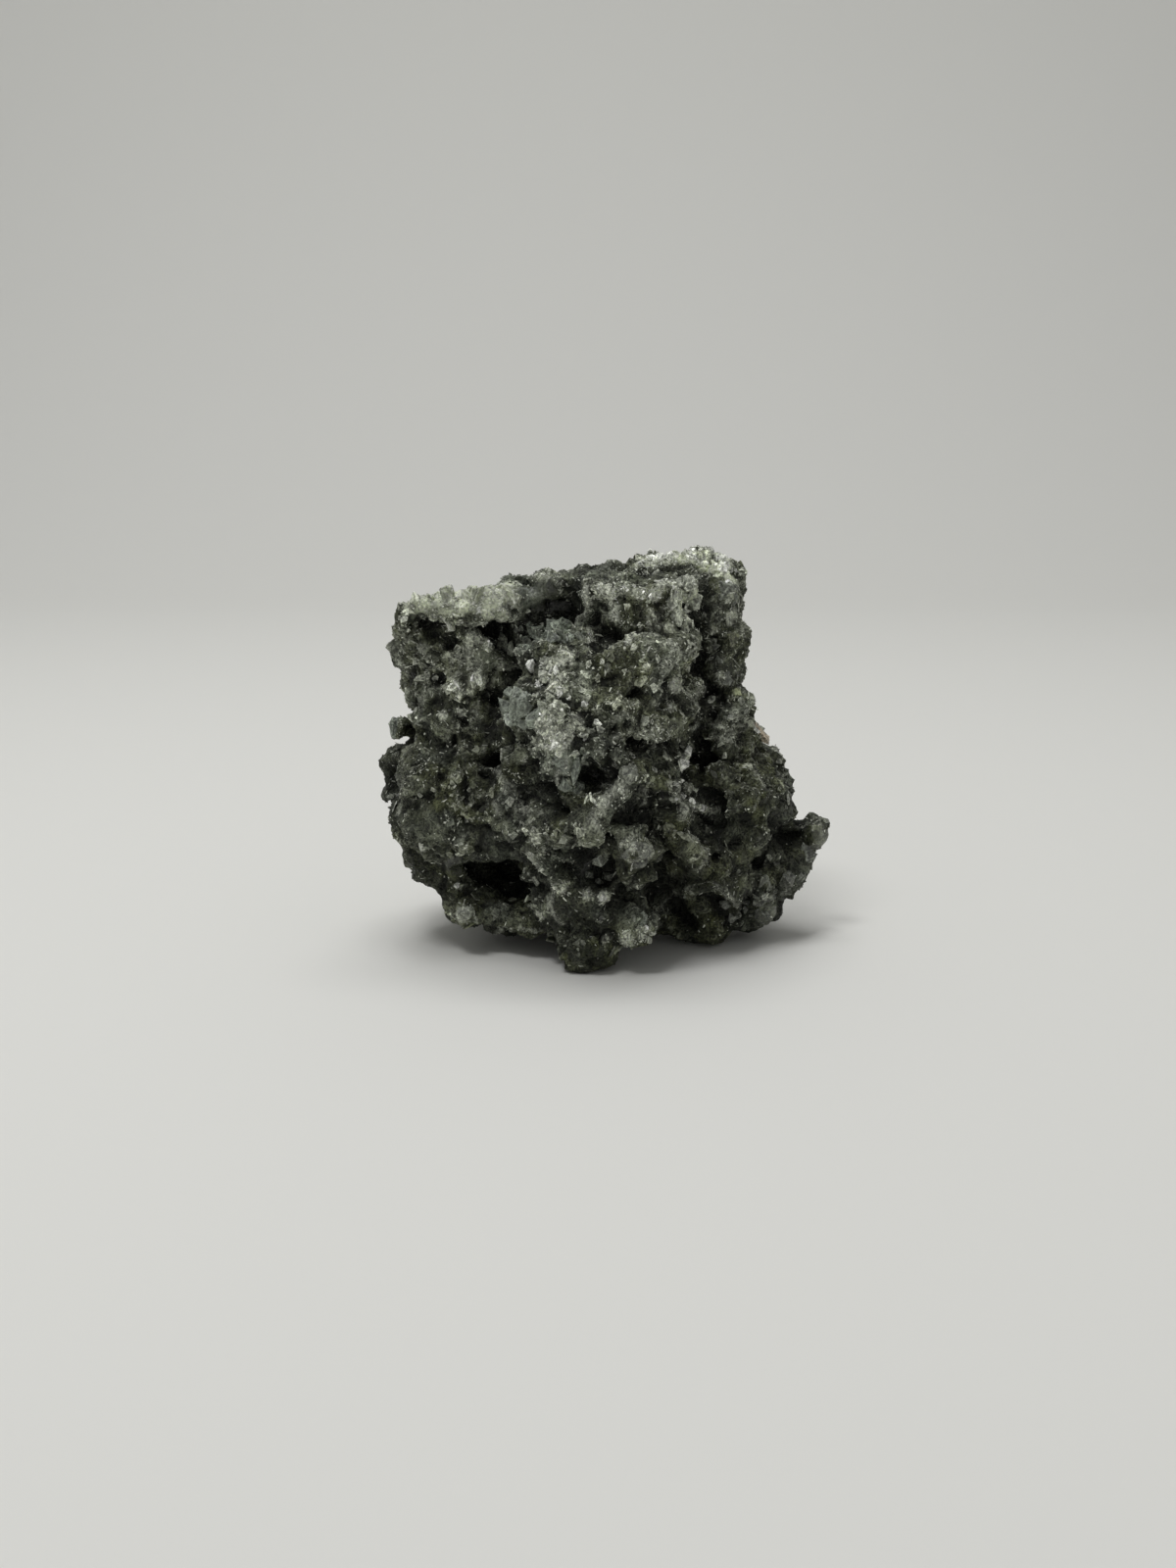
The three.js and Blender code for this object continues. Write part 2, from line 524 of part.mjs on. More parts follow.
function crystalGroup({ at, point, count, size, spread }, seed) {
  const random = seededRandom(seed);
  const either = () => 2 * random() - 1;
  const heading = new THREE.Vector3(...point).normalize();
  const up = new THREE.Vector3(0, 1, 0);
  return Array.from({ length: count }, () => {
    const aside = new THREE.Vector3(either(), either(), either()).projectOnPlane(heading);
    let foot = new THREE.Vector3(...at).addScaledVector(aside, spread);
    for (let pass = 0; pass < 6; pass++) {
      foot = settled(foot, stoneField, 1);
    }
    const turn = new THREE.Vector3(either(), either(), either()).multiplyScalar(CRYSTAL_LEAN);
    const lean = slopeAt(foot, stoneField, size / 2).normalize().add(turn).normalize();
    const upright = new THREE.Quaternion().setFromUnitVectors(up, lean);
    const spin = new THREE.Quaternion().setFromAxisAngle(up, random() * Math.PI);
    return crystalGeometry(size * (0.8 + 0.5 * random()), random)
      .applyQuaternion(spin)
      .applyQuaternion(upright)
      .translate(foot.x, foot.y, foot.z);
  });
}

// Everything under the resting plane, to be cut off.
function belowFloor() {
  const depth = 4 * FLOOR_SUNK;
  const block = new THREE.BoxGeometry(4 * REACH[0], 4 * REACH[1], depth).translate(0, 0, -depth / 2);
  return withSharedCorners(block);
}

function stoneGeometry() {
  const bare = solidFrom(skinGeometry());
  const crystals = CRYSTALS.flatMap((group, n) => crystalGroup(group, 101 + n).map(solidFrom));
  const rooted = crystals.filter((one) => bare.intersect(one).volume() > CRYSTAL_ROOT * one.volume());
  const crusted = rooted.reduce((stone, crystal) => stone.add(crystal), bare);
  return geometryFrom(crusted.subtract(solidFrom(belowFloor())));
}

// The origin is under the middle of the stone, on the plane that it rests on.
const geometry = stoneGeometry();
geometry.computeBoundingBox();
const middle = geometry.boundingBox.getCenter(new THREE.Vector3());
geometry.translate(-middle.x, -middle.y, 0);

const stone = new THREE.Mesh(
  geometry,
  new THREE.MeshStandardMaterial({ color: STONE_COLOUR, roughness: 0.6, metalness: 0 }),
);
stone.name = "prehnite_stone";

const specimen = new THREE.Group();
specimen.add(stone);
export default specimen;
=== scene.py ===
import math

import bmesh
import bpy
import numpy as np
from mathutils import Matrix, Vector
from mathutils.bvhtree import BVHTree


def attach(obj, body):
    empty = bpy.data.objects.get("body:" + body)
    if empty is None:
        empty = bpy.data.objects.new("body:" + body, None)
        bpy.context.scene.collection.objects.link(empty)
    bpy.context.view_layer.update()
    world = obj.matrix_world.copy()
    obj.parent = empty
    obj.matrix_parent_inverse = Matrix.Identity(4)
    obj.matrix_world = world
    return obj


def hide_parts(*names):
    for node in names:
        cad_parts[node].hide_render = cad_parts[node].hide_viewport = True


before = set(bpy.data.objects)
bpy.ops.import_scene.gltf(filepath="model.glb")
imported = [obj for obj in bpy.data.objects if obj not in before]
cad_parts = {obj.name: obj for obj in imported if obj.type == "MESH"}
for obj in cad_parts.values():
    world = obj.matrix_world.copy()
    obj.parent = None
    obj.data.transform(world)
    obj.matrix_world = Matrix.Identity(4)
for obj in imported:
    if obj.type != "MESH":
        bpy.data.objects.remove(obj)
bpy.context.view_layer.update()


# The camera sees the stone as the photograph does: from the front, a little from above and about
# a third of a metre away. Lengths in this file are in millimetres unless named otherwise.
MM = 0.001
PHOTO_WIDTH, PHOTO_HEIGHT = 1200, 1600
SIGHT_PITCH = math.radians(12)
SIGHT_DISTANCE = 313.0
SIGHT_AIM = np.array([-2.8, 0.0, 25.2])
VIEW_ANGLE = math.radians(45)
PIXELS_PER_SLOPE = PHOTO_HEIGHT / 2 / math.tan(VIEW_ANGLE / 2)

sight_forward = np.array([0, math.cos(SIGHT_PITCH), -math.sin(SIGHT_PITCH)])
sight_up = np.array([0, math.sin(SIGHT_PITCH), math.cos(SIGHT_PITCH)])
sight_right = np.array([1.0, 0, 0])
eye = SIGHT_AIM - SIGHT_DISTANCE * sight_forward

camera = bpy.data.objects.new("camera", bpy.data.cameras.new("camera"))
bpy.context.collection.objects.link(camera)
camera.location = Vector(eye * MM)
camera.rotation_euler = (math.pi / 2 - SIGHT_PITCH, 0, 0)
camera.data.sensor_width = 36
camera.data.lens = 18 / math.tan(VIEW_ANGLE / 2)
camera.data.clip_start = 0.01
camera.data.clip_end = 20
bpy.context.scene.camera = camera


# The body of the specimen: dark green-grey matrix grown over with prehnite in small leaning
# plates, knobs and pits. It is one grown mass, so its whole skin is one closed mesh.
SKIN_GRID = 0.5
SMOOTH_FIRST = 3
PULL = 0.6
MILKY_FROM = 0.45


def seed_random(cell, salt):
    """A fixed random number from 0 to 1 for each whole-numbered place."""
    i, j, k = cell.T
    h = i * 374761393 + j * 668265263 + k * 1442695041 + salt * 974711239
    h = (h ^ (h >> 13)) & 0xFFFFFFFF
    h = (h * 1274126177) & 0xFFFFFFFF
    h = h ^ (h >> 16)
    return (h & 0xFFFFFF) / float(0x1000000)


def smooth_noise(p, size, salt):
    """Soft noise from -1 to 1 with bumps about one size wide."""
    low = np.floor(p / size).astype(np.int64)
    f = p / size - low
    f = f * f * (3 - 2 * f)
    total = np.zeros(len(p))
    for corner in np.ndindex(2, 2, 2):
        total += np.where(corner, f, 1 - f).prod(1) * seed_random(low + corner, salt)
    return total * 2 - 1


def rough_noise(p, size, salt):
    """Noise with finer and finer layers, from -1 to 1."""
    total = np.zeros(len(p))
    reach = 0.0
    for layer in range(3):
        share = 0.55**layer
        total += share * smooth_noise(p, size / 2**layer, salt + layer)
        reach += share
    return total / reach


def nearest_seed(p, size, salt):
    """For each point, the nearest and second nearest of seeds strewn one to a cell of that size."""
    q = p / size
    low = np.floor(q).astype(np.int64)
    first = np.full(len(p), 9.0)
    second = np.full(len(p), 9.0)
    cell = np.zeros((len(p), 3), np.int64)
    offset = np.zeros((len(p), 3))
    for step in np.ndindex(3, 3, 3):
        c = low + step - 1
        away = q - (c + np.stack([seed_random(c, salt + n) for n in range(3)], 1))
        d = np.sqrt((away**2).sum(1))
        closer = d < first
        second = np.where(closer, first, np.minimum(second, d))
        first = np.where(closer, d, first)
        cell[closer] = c[closer]
        offset[closer] = away[closer]
    return first, second, cell, offset


def leaning_plates(p, size, salt, lean=1.0):
    """Height of small leaning plates with steps between, about -1 to 1, and a random number for each."""
    _, _, cell, offset = nearest_seed(p, size, salt)
    slope = np.stack([seed_random(cell, salt + 11 + n) * 2 - 1 for n in range(3)], 1)
    height = seed_random(cell, salt + 10) * 2 - 1 + lean * (offset * slope).sum(1)
    return height, seed_random(cell, salt + 20)


def knobs(p, size, salt):
    """Height of rounded knobs packed side by side, from 0 in their creases to 1 on top."""
    first, _, cell, _ = nearest_seed(p, size, salt)
    return np.sqrt(np.clip(1 - (first / 0.95) ** 2, 0, 1)) * (0.6 + 0.4 * seed_random(cell, salt + 10))


def crinkle(p, size, salt, layers=3):
    """Sharp winding crests with hollows between them, from 0 in the hollows to 1 on the crests."""
    total = np.zeros(len(p))
    reach = 0.0
    weight = np.ones(len(p))
    for layer in range(layers):
        crest = (1 - np.abs(smooth_noise(p, size / 2.1**layer, salt + layer)) * 1.6).clip(0, 1) ** 2
        share = 0.6**layer
        total += share * crest * weight
        reach += share
        weight = 0.35 + 0.65 * crest
    return total / reach


def blend_in(x, low, high):
    t = np.clip((x - low) / (high - low), 0, 1)
    return t * t * (3 - 2 * t)


def remeshed(source, grid):
    """A copy of a CAD solid with an even fine mesh, as points in millimetres and its faces."""
    copy = source.copy()
    copy.data = source.data.copy()
    bpy.context.collection.objects.link(copy)
    remesh = copy.modifiers.new("even", "REMESH")
    remesh.mode = "VOXEL"
    remesh.voxel_size = grid * MM
    remesh.use_smooth_shade = True
    made = copy.evaluated_get(bpy.context.evaluated_depsgraph_get()).to_mesh()
    points = np.empty(len(made.vertices) * 3)
    made.vertices.foreach_get("co", points)
    corners = np.empty(len(made.loops), np.int64)
    made.loops.foreach_get("vertex_index", corners)
    edges = np.empty(len(made.edges) * 2, np.int64)
    made.edges.foreach_get("vertices", edges)
    bpy.data.objects.remove(copy)
    return points.reshape(-1, 3) / MM, corners.reshape(-1, 4), edges.reshape(-1, 2)


def evened(values, edges, times):
    """Each point's values drawn towards the mean of its neighbours'."""
    count = np.bincount(edges.ravel(), minlength=len(values)).astype(float)
    current = values.copy()
    for _ in range(times):
        total = np.stack(
            [
                np.bincount(edges[:, 0], current[edges[:, 1], n], len(values))
                + np.bincount(edges[:, 1], current[edges[:, 0], n], len(values))
                for n in range(values.shape[1])
            ],
            1,
        )
        current += PULL * (total / count[:, None] - current)
    return current


def normals_of(points, quads):
    across = np.cross(points[quads[:, 2]] - points[quads[:, 0]], points[quads[:, 3]] - points[quads[:, 1]])
    total = np.zeros_like(points)
    for n in range(4):
        for axis in range(3):
            total[:, axis] += np.bincount(quads[:, n], across[:, axis], len(points))
    return total / np.maximum(np.sqrt((total**2).sum(1)), 1e-9)[:, None]


def mesh_from(name, points, polygons, colours=None, soft=False):
    """A mesh object from points in millimetres and polygons with the same number of corners each."""
    mesh = bpy.data.meshes.new(name)
    sides = polygons.shape[1]
    mesh.vertices.add(len(points))
    mesh.vertices.foreach_set("co", (points * MM).ravel())
    mesh.loops.add(polygons.size)
    mesh.loops.foreach_set("vertex_index", polygons.ravel().astype(np.int32))
    mesh.polygons.add(len(polygons))
    mesh.polygons.foreach_set("loop_start", np.arange(0, polygons.size, sides, dtype=np.int32))
    mesh.update(calc_edges=True)
    mesh.validate()
    mesh.polygons.foreach_set("use_smooth", np.full(len(polygons), soft))
    if colours is not None:
        layer = mesh.color_attributes.new("stone_colour", "FLOAT_COLOR", "POINT")
        layer.data.foreach_set("color", np.concatenate([colours, np.ones((len(colours), 1))], 1).ravel())
    made = bpy.data.objects.new(name, mesh)
    bpy.context.collection.objects.link(made)
    return made


# Places with a look of their own, and under DARK places painted darker as shade, as pixels of the photograph
# under their radius in its pixels.
PIXELS_PER_MM = 6.2
PALE_GLASS = {
    15: (438, 614, 454, 613, 470, 613, 486, 613), 14: (424, 616), 13: (502, 612), 12: (498, 604, 702, 570,
    720, 574), 11: (434, 606, 478, 605, 685, 570, 735, 582), 10: (514, 608, 456, 605, 500, 624),
    9: (520, 598, 434, 630, 668, 573, 745, 594, 690, 625, 706, 600), 8: (512, 628, 692, 608, 708, 612),
    7: (470, 624, 650, 576, 685, 640),
}
WHITE_CRUST = {
    15: (570, 750), 14: (565, 685), 12: (558, 735, 558, 754), 10: (700, 567, 577, 672, 587, 738),
    9: (680, 569, 718, 570, 570, 700, 485, 650, 690, 700, 474, 932), 8: (664, 572, 686, 597, 558, 675,
    568, 722, 545, 855, 645, 862, 640, 958, 572, 905), 7: (612, 603, 668, 607, 668, 748, 700, 778,
    616, 915, 655, 952, 742, 600), 6: (652, 606, 600, 650, 497, 657, 467, 700, 489, 693, 702, 803,
    612, 830, 642, 790, 552, 870, 655, 872, 550, 935, 775, 745, 747, 628, 735, 690, 600, 912),
    5: (625, 605, 600, 612, 625, 655, 470, 728, 452, 730, 686, 721, 690, 815, 718, 826, 780, 915),
    4: (641, 656, 526, 708, 467, 904),
}
BLUE_GREEN = {
    18: (530, 720), 16: (550, 648, 577, 780), 14: (575, 645, 495, 675, 540, 608), 12: (590, 800, 612, 925,
    610, 890), 10: (540, 735, 535, 660, 600, 775, 515, 815, 650, 935), 9: (402, 740), 8: (640, 735),
    6: (525, 665),
}
OLIVE = {
    20: (650, 680), 18: (470, 790, 480, 830), 16: (455, 655, 450, 740, 480, 760, 450, 815, 650, 590,
    730, 890), 14: (450, 690, 500, 800, 670, 660, 690, 840, 710, 870, 760, 870, 600, 965), 12: (430, 640,
    440, 720, 520, 790, 505, 835, 610, 668, 690, 690, 655, 785, 750, 900, 780, 780, 440, 760),
    11: (752, 712), 10: (505, 630, 640, 715, 680, 800, 690, 885, 795, 800, 770, 830, 560, 665),
    9: (750, 652), 8: (580, 900, 700, 660, 540, 895),
}
GREY = {
    16: (440, 848, 495, 672), 14: (780, 935, 660, 660, 690, 700, 740, 605, 620, 590), 13: (737, 685),
    12: (602, 848, 632, 850, 555, 930, 590, 918, 640, 945, 455, 925, 485, 700, 580, 585, 480, 655,
    688, 740), 11: (425, 800, 545, 860), 10: (512, 845, 700, 868, 490, 940, 525, 942, 555, 585, 530, 770,
    765, 900), 9: (815, 880, 600, 700), 8: (575, 852, 832, 855, 545, 780, 745, 795),
}
# DARK marks painted shade: dark gaps, clefts and pits that are painted darker.
DARK = {
    24: (752, 842), 20: (505, 905), 14: (790, 860, 530, 905, 490, 885), 12: (735, 850, 470, 885, 600, 975,
    710, 930, 800, 820), 10: (395, 800, 430, 880), 9: (558, 804, 572, 888, 715, 850, 690, 900, 660, 905,
    500, 745, 430, 700, 640, 915), 8: (455, 865, 595, 955), 7: (836, 861, 622, 723, 692, 938),
    6: (732, 905, 572, 622), 5: (604, 715),
}
RAGGED = {
    45: (650, 690), 40: (660, 750), 36: (650, 620), 30: (620, 700, 480, 780, 620, 850, 700, 890,
    770, 880), 26: (690, 800, 560, 850, 650, 930), 24: (690, 690), 22: (610, 640, 445, 650),
}
CLEAN = {
    20: (555, 608), 14: (535, 610, 832, 855), 13: (495, 672), 12: (577, 778, 780, 930, 465, 885, 440, 608,
    470, 606, 500, 604), 10: (572, 615, 612, 790), 9: (603, 893),
}

# Clefts, pits and swellings: a radius, how far out or in (both in millimetres) and a path of pixels.
MOULDED = [
    (1.3, -1.7, 706, 622, 709, 640, 712, 665, 714, 690), (1.2, -1.5, 716, 600, 722, 620),
    (1.2, -1.8, 722, 700, 735, 712), (1.1, -1.8, 728, 728, 726, 742), (1.2, -2.0, 714, 740, 716, 760),
    (1.5, -1.8, 712, 778, 730, 777), (0.8, -1.6, 702, 796), (1.9, -3.4, 718, 808, 730, 818),
    (1.2, -1.8, 740, 857, 752, 862), (1.6, -2.4, 790, 840, 810, 852, 790, 856),
    (1.5, -3.2, 500, 641, 514, 645, 516, 660), (0.9, -1.6, 430, 632, 436, 640),
    (0.9, -2.0, 420, 650, 422, 662), (1.1, -2.0, 418, 715, 420, 735, 419, 755), (1.5, -3.8, 522, 690),
    (0.9, -1.8, 517, 742, 519, 765), (0.9, -1.8, 502, 772), (0.9, -1.5, 478, 790, 477, 815),
    (1.0, -2.0, 395, 785, 398, 800), (0.7, -1.2, 404, 780, 403, 810),
    (0.9, -2.2, 516, 648, 522, 690, 508, 708, 507, 735, 516, 750, 508, 768, 500, 776),
    (0.7, -1.5, 420, 641, 440, 640, 462, 642, 490, 642, 508, 645), (0.9, -1.4, 700, 700, 708, 712),
    (0.8, -1.4, 712, 765, 700, 790), (1.6, -3.8, 547, 784, 553, 798, 561, 812, 566, 821),
    (1.2, -1.8, 555, 820, 572, 828), (0.8, -1.6, 606, 812), (0.6, -2.2, 626, 745),
    (0.9, -2.2, 640, 706, 650, 702, 658, 708), (0.9, -1.8, 646, 758, 656, 760),
    (0.7, -1.4, 678, 757, 688, 760), (0.7, -1.8, 588, 603), (1.1, -1.3, 562, 618, 576, 619),
    (1.3, -1.7, 608, 636, 616, 645, 628, 646), (0.9, -1.6, 650, 808, 662, 812),
    (1.5, -2.8, 604, 858, 618, 860), (2.2, -1.6, 600, 878, 618, 888), (1.1, -2.8, 570, 884, 584, 890),
    (1.3, -2.8, 650, 902, 664, 886, 676, 872), (0.9, -2.0, 545, 880, 552, 890),
    (2.2, -2.0, 485, 880, 500, 895, 520, 905), (1.3, -2.2, 688, 925, 696, 935, 700, 945),
    (1.5, -2.2, 700, 925, 725, 915, 738, 925), (1.0, -1.6, 690, 948), (0.8, -1.0, 540, 850, 530, 862),
    (2.6, 1.8, 524, 715, 534, 722, 540, 730), (2.6, 0.9, 570, 745, 560, 755),
    (1.2, 1.7, 580, 766, 580, 785, 584, 803), (1.7, 2.2, 603, 842, 618, 824, 636, 802, 648, 790),
    (2.4, 1.4, 540, 845, 570, 848, 600, 850), (1.1, 1.5, 522, 848, 545, 868, 560, 886),
    (2.4, 1.4, 638, 868, 655, 868), (1.6, 1.6, 508, 868), (1.2, 1.5, 535, 880, 548, 893),
    (1.7, 1.3, 475, 931), (2.0, 1.6, 690, 830, 700, 860, 716, 880, 740, 895),
    (1.1, 1.8, 705, 906, 730, 902, 748, 915, 750, 932), (1.2, 1.0, 715, 940, 735, 940),
    (1.3, 1.2, 660, 940, 676, 925), (1.8, 1.0, 640, 955, 655, 955), (1.3, 0.9, 615, 915),
    (2.6, 1.2, 780, 930), (1.4, 1.3, 765, 790, 775, 810), (2.6, 1.3, 640, 665, 665, 660, 690, 672),
    (1.8, 1.2, 700, 655, 706, 668), (1.8, 1.1, 702, 715, 706, 735), (1.6, 1.0, 668, 748),
    (1.2, 0.9, 700, 775), (1.6, 1.3, 700, 805), (1.6, 1.1, 733, 790, 725, 798), (2.6, 1.3, 742, 603),
    (2.2, 1.2, 750, 650), (2.6, 1.6, 736, 683), (2.0, 1.2, 755, 710), (1.2, 1.3, 688, 618, 692, 632),
    (1.6, 1.3, 706, 600), (1.2, 1.1, 615, 600, 650, 605, 680, 600), (0.9, 1.4, 516, 650, 518, 678),
    (1.4, 0.8, 412, 640, 412, 670), (2.0, 1.4, 425, 790, 420, 805), (2.4, 1.3, 445, 830),
    (1.8, 1.1, 488, 805), (1.6, 1.1, 515, 815), (1.4, 1.1, 530, 832), (3.0, 0.9, 490, 680),
    (2.4, 0.9, 460, 730), (1.4, 0.9, 510, 740), (2.0, 0.8, 830, 850, 838, 845),
    (1.8, 1.0, 722, 728, 728, 745), (1.8, 1.2, 738, 762), (1.2, 0.8, 608, 812, 618, 806),
    (2.4, 2.2, 806, 895, 815, 882, 824, 870), (1.6, 1.0, 832, 862, 840, 852),
]

# Thin pale edges where plates and shells break off: a radius, how white and a path of pixels.
EDGES = [
    (0.45, 0.45, 505, 785, 520, 805, 538, 828), (0.6, 0.6, 505, 822, 520, 852, 545, 872, 560, 888),
    (0.5, 0.55, 602, 836, 616, 818, 640, 792), (0.4, 0.8, 518, 600, 511, 618, 521, 630),
    (0.35, 0.7, 477, 655, 478, 672), (0.5, 1.0, 463, 694, 471, 709), (0.6, 0.8, 486, 688, 493, 698),
    (0.35, 0.6, 605, 600, 625, 606, 640, 603, 655, 607, 672, 612),
    (0.45, 0.8, 620, 608, 628, 620, 630, 632), (0.5, 0.9, 672, 600, 680, 592, 690, 604),
    (0.45, 0.8, 690, 600, 694, 620, 697, 640), (0.35, 0.5, 680, 640, 700, 638, 710, 655),
    (0.4, 0.7, 598, 602, 600, 615, 596, 628),
    (0.5, 0.6, 580, 642, 600, 652, 622, 662, 642, 656, 656, 648, 678, 655, 692, 668),
    (0.4, 0.5, 690, 700, 705, 715, 710, 740), (0.5, 0.7, 684, 800, 690, 815, 692, 832),
    (0.45, 0.8, 700, 822, 715, 824, 727, 829), (0.35, 0.4, 700, 905, 725, 900, 745, 912, 752, 930),
    (0.4, 0.5, 655, 945, 672, 925, 690, 910), (0.45, 0.5, 700, 850, 715, 868, 722, 880),
    (0.4, 0.6, 460, 934, 480, 948, 505, 953, 520, 948), (0.4, 0.5, 530, 946, 550, 948),
    (0.5, 0.5, 572, 942, 560, 926, 566, 906), (0.5, 0.6, 620, 958, 640, 965, 660, 958, 672, 945),
    (0.4, 0.4, 407, 770, 409, 800, 407, 830), (0.5, 0.7, 762, 735, 775, 748, 788, 762),
    (0.4, 0.4, 760, 780, 770, 800, 778, 815), (0.35, 0.3, 816, 842, 832, 836, 846, 843, 848, 855),
    (0.45, 0.6, 740, 590, 742, 612), (0.45, 0.7, 749, 622, 745, 636), (0.4, 0.8, 528, 632, 540, 641),
    (0.4, 0.9, 590, 630, 584, 640), (0.35, 0.7, 513, 640, 512, 680, 523, 684),
    (0.8, 0.9, 640, 572, 665, 567, 690, 562, 720, 566, 740, 580),
    (0.6, 0.6, 420, 606, 450, 600, 500, 598), (0.6, 0.9, 550, 744, 565, 752, 580, 748),
    (0.5, 0.9, 548, 756, 560, 764, 572, 758), (0.35, 0.8, 570, 775, 569, 800),
    (0.4, 0.7, 634, 860, 645, 853, 658, 858, 664, 870), (0.4, 0.6, 638, 872, 650, 880, 662, 874),
    (0.35, 0.6, 655, 815, 665, 812, 660, 820),
]


def smooth_tree(points, quads):
    return BVHTree.FromPolygons([Vector(p) for p in points], quads.tolist())


def spot(tree, u, v):
    """The place on the stone that shows at a pixel of the photograph, and the way it faces there."""
    ray = (
        sight_forward
        + sight_right * (u - PHOTO_WIDTH / 2) / PIXELS_PER_SLOPE
        - sight_up * (v - PHOTO_HEIGHT / 2) / PIXELS_PER_SLOPE
    )
    ray = ray / np.linalg.norm(ray)
    place, normal, _, _ = tree.ray_cast(Vector(eye), Vector(ray))
    if place is None:
        place, normal, _, _ = tree.find_nearest(Vector(eye + ray * SIGHT_DISTANCE))
    return np.array(place), np.array(normal)


def pixels(path):
    """The pixels of a path or of marks given as u, v, u, v and so on."""
    return list(zip(path[::2], path[1::2]))


def around(p, marks):
    """How much each point belongs to soft-edged marks, which reach three times as deep as wide."""
    most = np.zeros(len(p))
    for radius, places in marks.items():
        for u, v in pixels(places):
            away = p - spot(stone_tree, u, v)[0]
            along = away @ sight_forward
            d = np.sqrt((away**2).sum(1) - along**2 * 8 / 9) / radius * PIXELS_PER_MM
            most = np.maximum(most, 1 - blend_in(d, 0.55, 1.15))
    return most


def path_places(path, step):
    """Places on the stone along a path of pixels, at most one step apart."""
    stops = [spot(stone_tree, u, v)[0] for u, v in pixels(path)]
    places = [stops[0]]
    for start, end in zip(stops, stops[1:]):
        count = max(1, math.ceil(np.linalg.norm(end - start) / step))
        places += [start + (end - start) * n / count for n in range(1, count + 1)]
    return places


def moulding(p):
    """How far each point is pushed out or in by the clefts, pits and swellings."""
    total = np.zeros(len(p))
    for radius, push, *path in MOULDED:
        most = np.zeros(len(p))
        for place in path_places(path, 0.6 * radius):
            d2 = ((p - place) ** 2).sum(1) / radius**2
            most = np.maximum(most, np.clip(1 - d2 / 2.2, 0, 1) ** 1.5)
        total += push * most
    return total


def edge_lines(p):
    """How white each point is from the pale edges near it."""
    most = np.zeros(len(p))
    for radius, white, *path in EDGES:
        for place in path_places(path, 0.6 * radius):
            d = np.sqrt(((p - place) ** 2).sum(1))
            most = np.maximum(most, white * (1 - blend_in(d, 0.5 * radius, 1.6 * radius)))
    return most


def share_above(values, low, high):
    """From 0 to 1 as a value climbs from one percentile of all values to another."""
    return blend_in(values, np.percentile(values, low), np.percentile(values, high))


stone_points, stone_quads, stone_edges = remeshed(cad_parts["prehnite_stone"], SKIN_GRID)
stone_points = evened(stone_points, stone_edges, SMOOTH_FIRST)
stone_tree = smooth_tree(stone_points, stone_quads)
swell = evened(stone_points, stone_edges, 6)
outward = normals_of(swell, stone_quads)

# Patterns over the stone: lumps, torn scoops and bites, leaning plates, knobs, folds and pits.
bent = stone_points + np.stack([rough_noise(stone_points, 3.4, 40 + 5 * n) for n in range(3)], 1) * 0.9

torn = bent + np.stack([rough_noise(stone_points, 1.5, 55 + 5 * n) for n in range(3)], 1) * 0.45
lump_distance, lump_next, lump_cell, _ = nearest_seed(bent, 6.2, 60)
lump_round = np.sqrt(np.clip(1 - (lump_distance / 0.85) ** 2, 0, 1))
lump_round = lump_round * (0.5 + 0.5 * seed_random(lump_cell, 70))
lump_gap = 1 - blend_in(lump_next - lump_distance, 0.02, 0.22)
scoop_distance, scoop_next, _, _ = nearest_seed(torn, 4.4, 75)
scoop_edge = 1 - blend_in(scoop_next - scoop_distance, 0.0, 0.15)
bite_distance, _, _, _ = nearest_seed(torn, 2.1, 85)
lump_tone = seed_random(lump_cell, 71)
lump_hue = seed_random(lump_cell, 72)
big_druse, _ = leaning_plates(bent, 4.6, 90, 1.3)
druse, plate_tone = leaning_plates(bent, 3.0, 100, 1.2)
small_druse, small_tone = leaning_plates(bent, 1.5, 200)
crumb, crumb_tone = leaning_plates(bent, 0.95, 300, 0.6)
knobby = knobs(bent, 2.4, 400)
folds = crinkle(torn, 5.2, 420)
frills = crinkle(torn, 2.2, 440, 2)
zone = blend_in(rough_noise(stone_points, 9, 500), -0.25, 0.25)
ragged = np.maximum(
    blend_in(rough_noise(stone_points, 12, 510), -0.1, 0.2), around(stone_points, RAGGED)
)
in_pale = around(stone_points, PALE_GLASS)
on_top = blend_in(outward[:, 2], 0.5, 0.8)
in_pale = in_pale * (1 - 0.5 * on_top * blend_in(rough_noise(stone_points, 3.5, 895), 0.0, 0.35))
bare = blend_in(rough_noise(stone_points, 4.5, 880), 0.0, 0.3)
in_grey = around(stone_points, GREY)
calm = around(stone_points, CLEAN)
pit_distance, _, pit_cell, _ = nearest_seed(bent, 4.2, 600)
pit_here = (seed_random(pit_cell, 610) < 0.6) * (0.14 + 0.16 * seed_random(pit_cell, 611))
pitted = 1 - blend_in(pit_distance, pit_here * 0.5, pit_here * 1.3 + 1e-6)
in_front = blend_in(-outward @ sight_forward, 0.1, 0.6)
at_outline = 1 - blend_in(np.abs(outward @ sight_forward), 0.15, 0.45)
moulded = moulding(stone_points)
lined = edge_lines(bent * 0.35 + stone_points * 0.65)

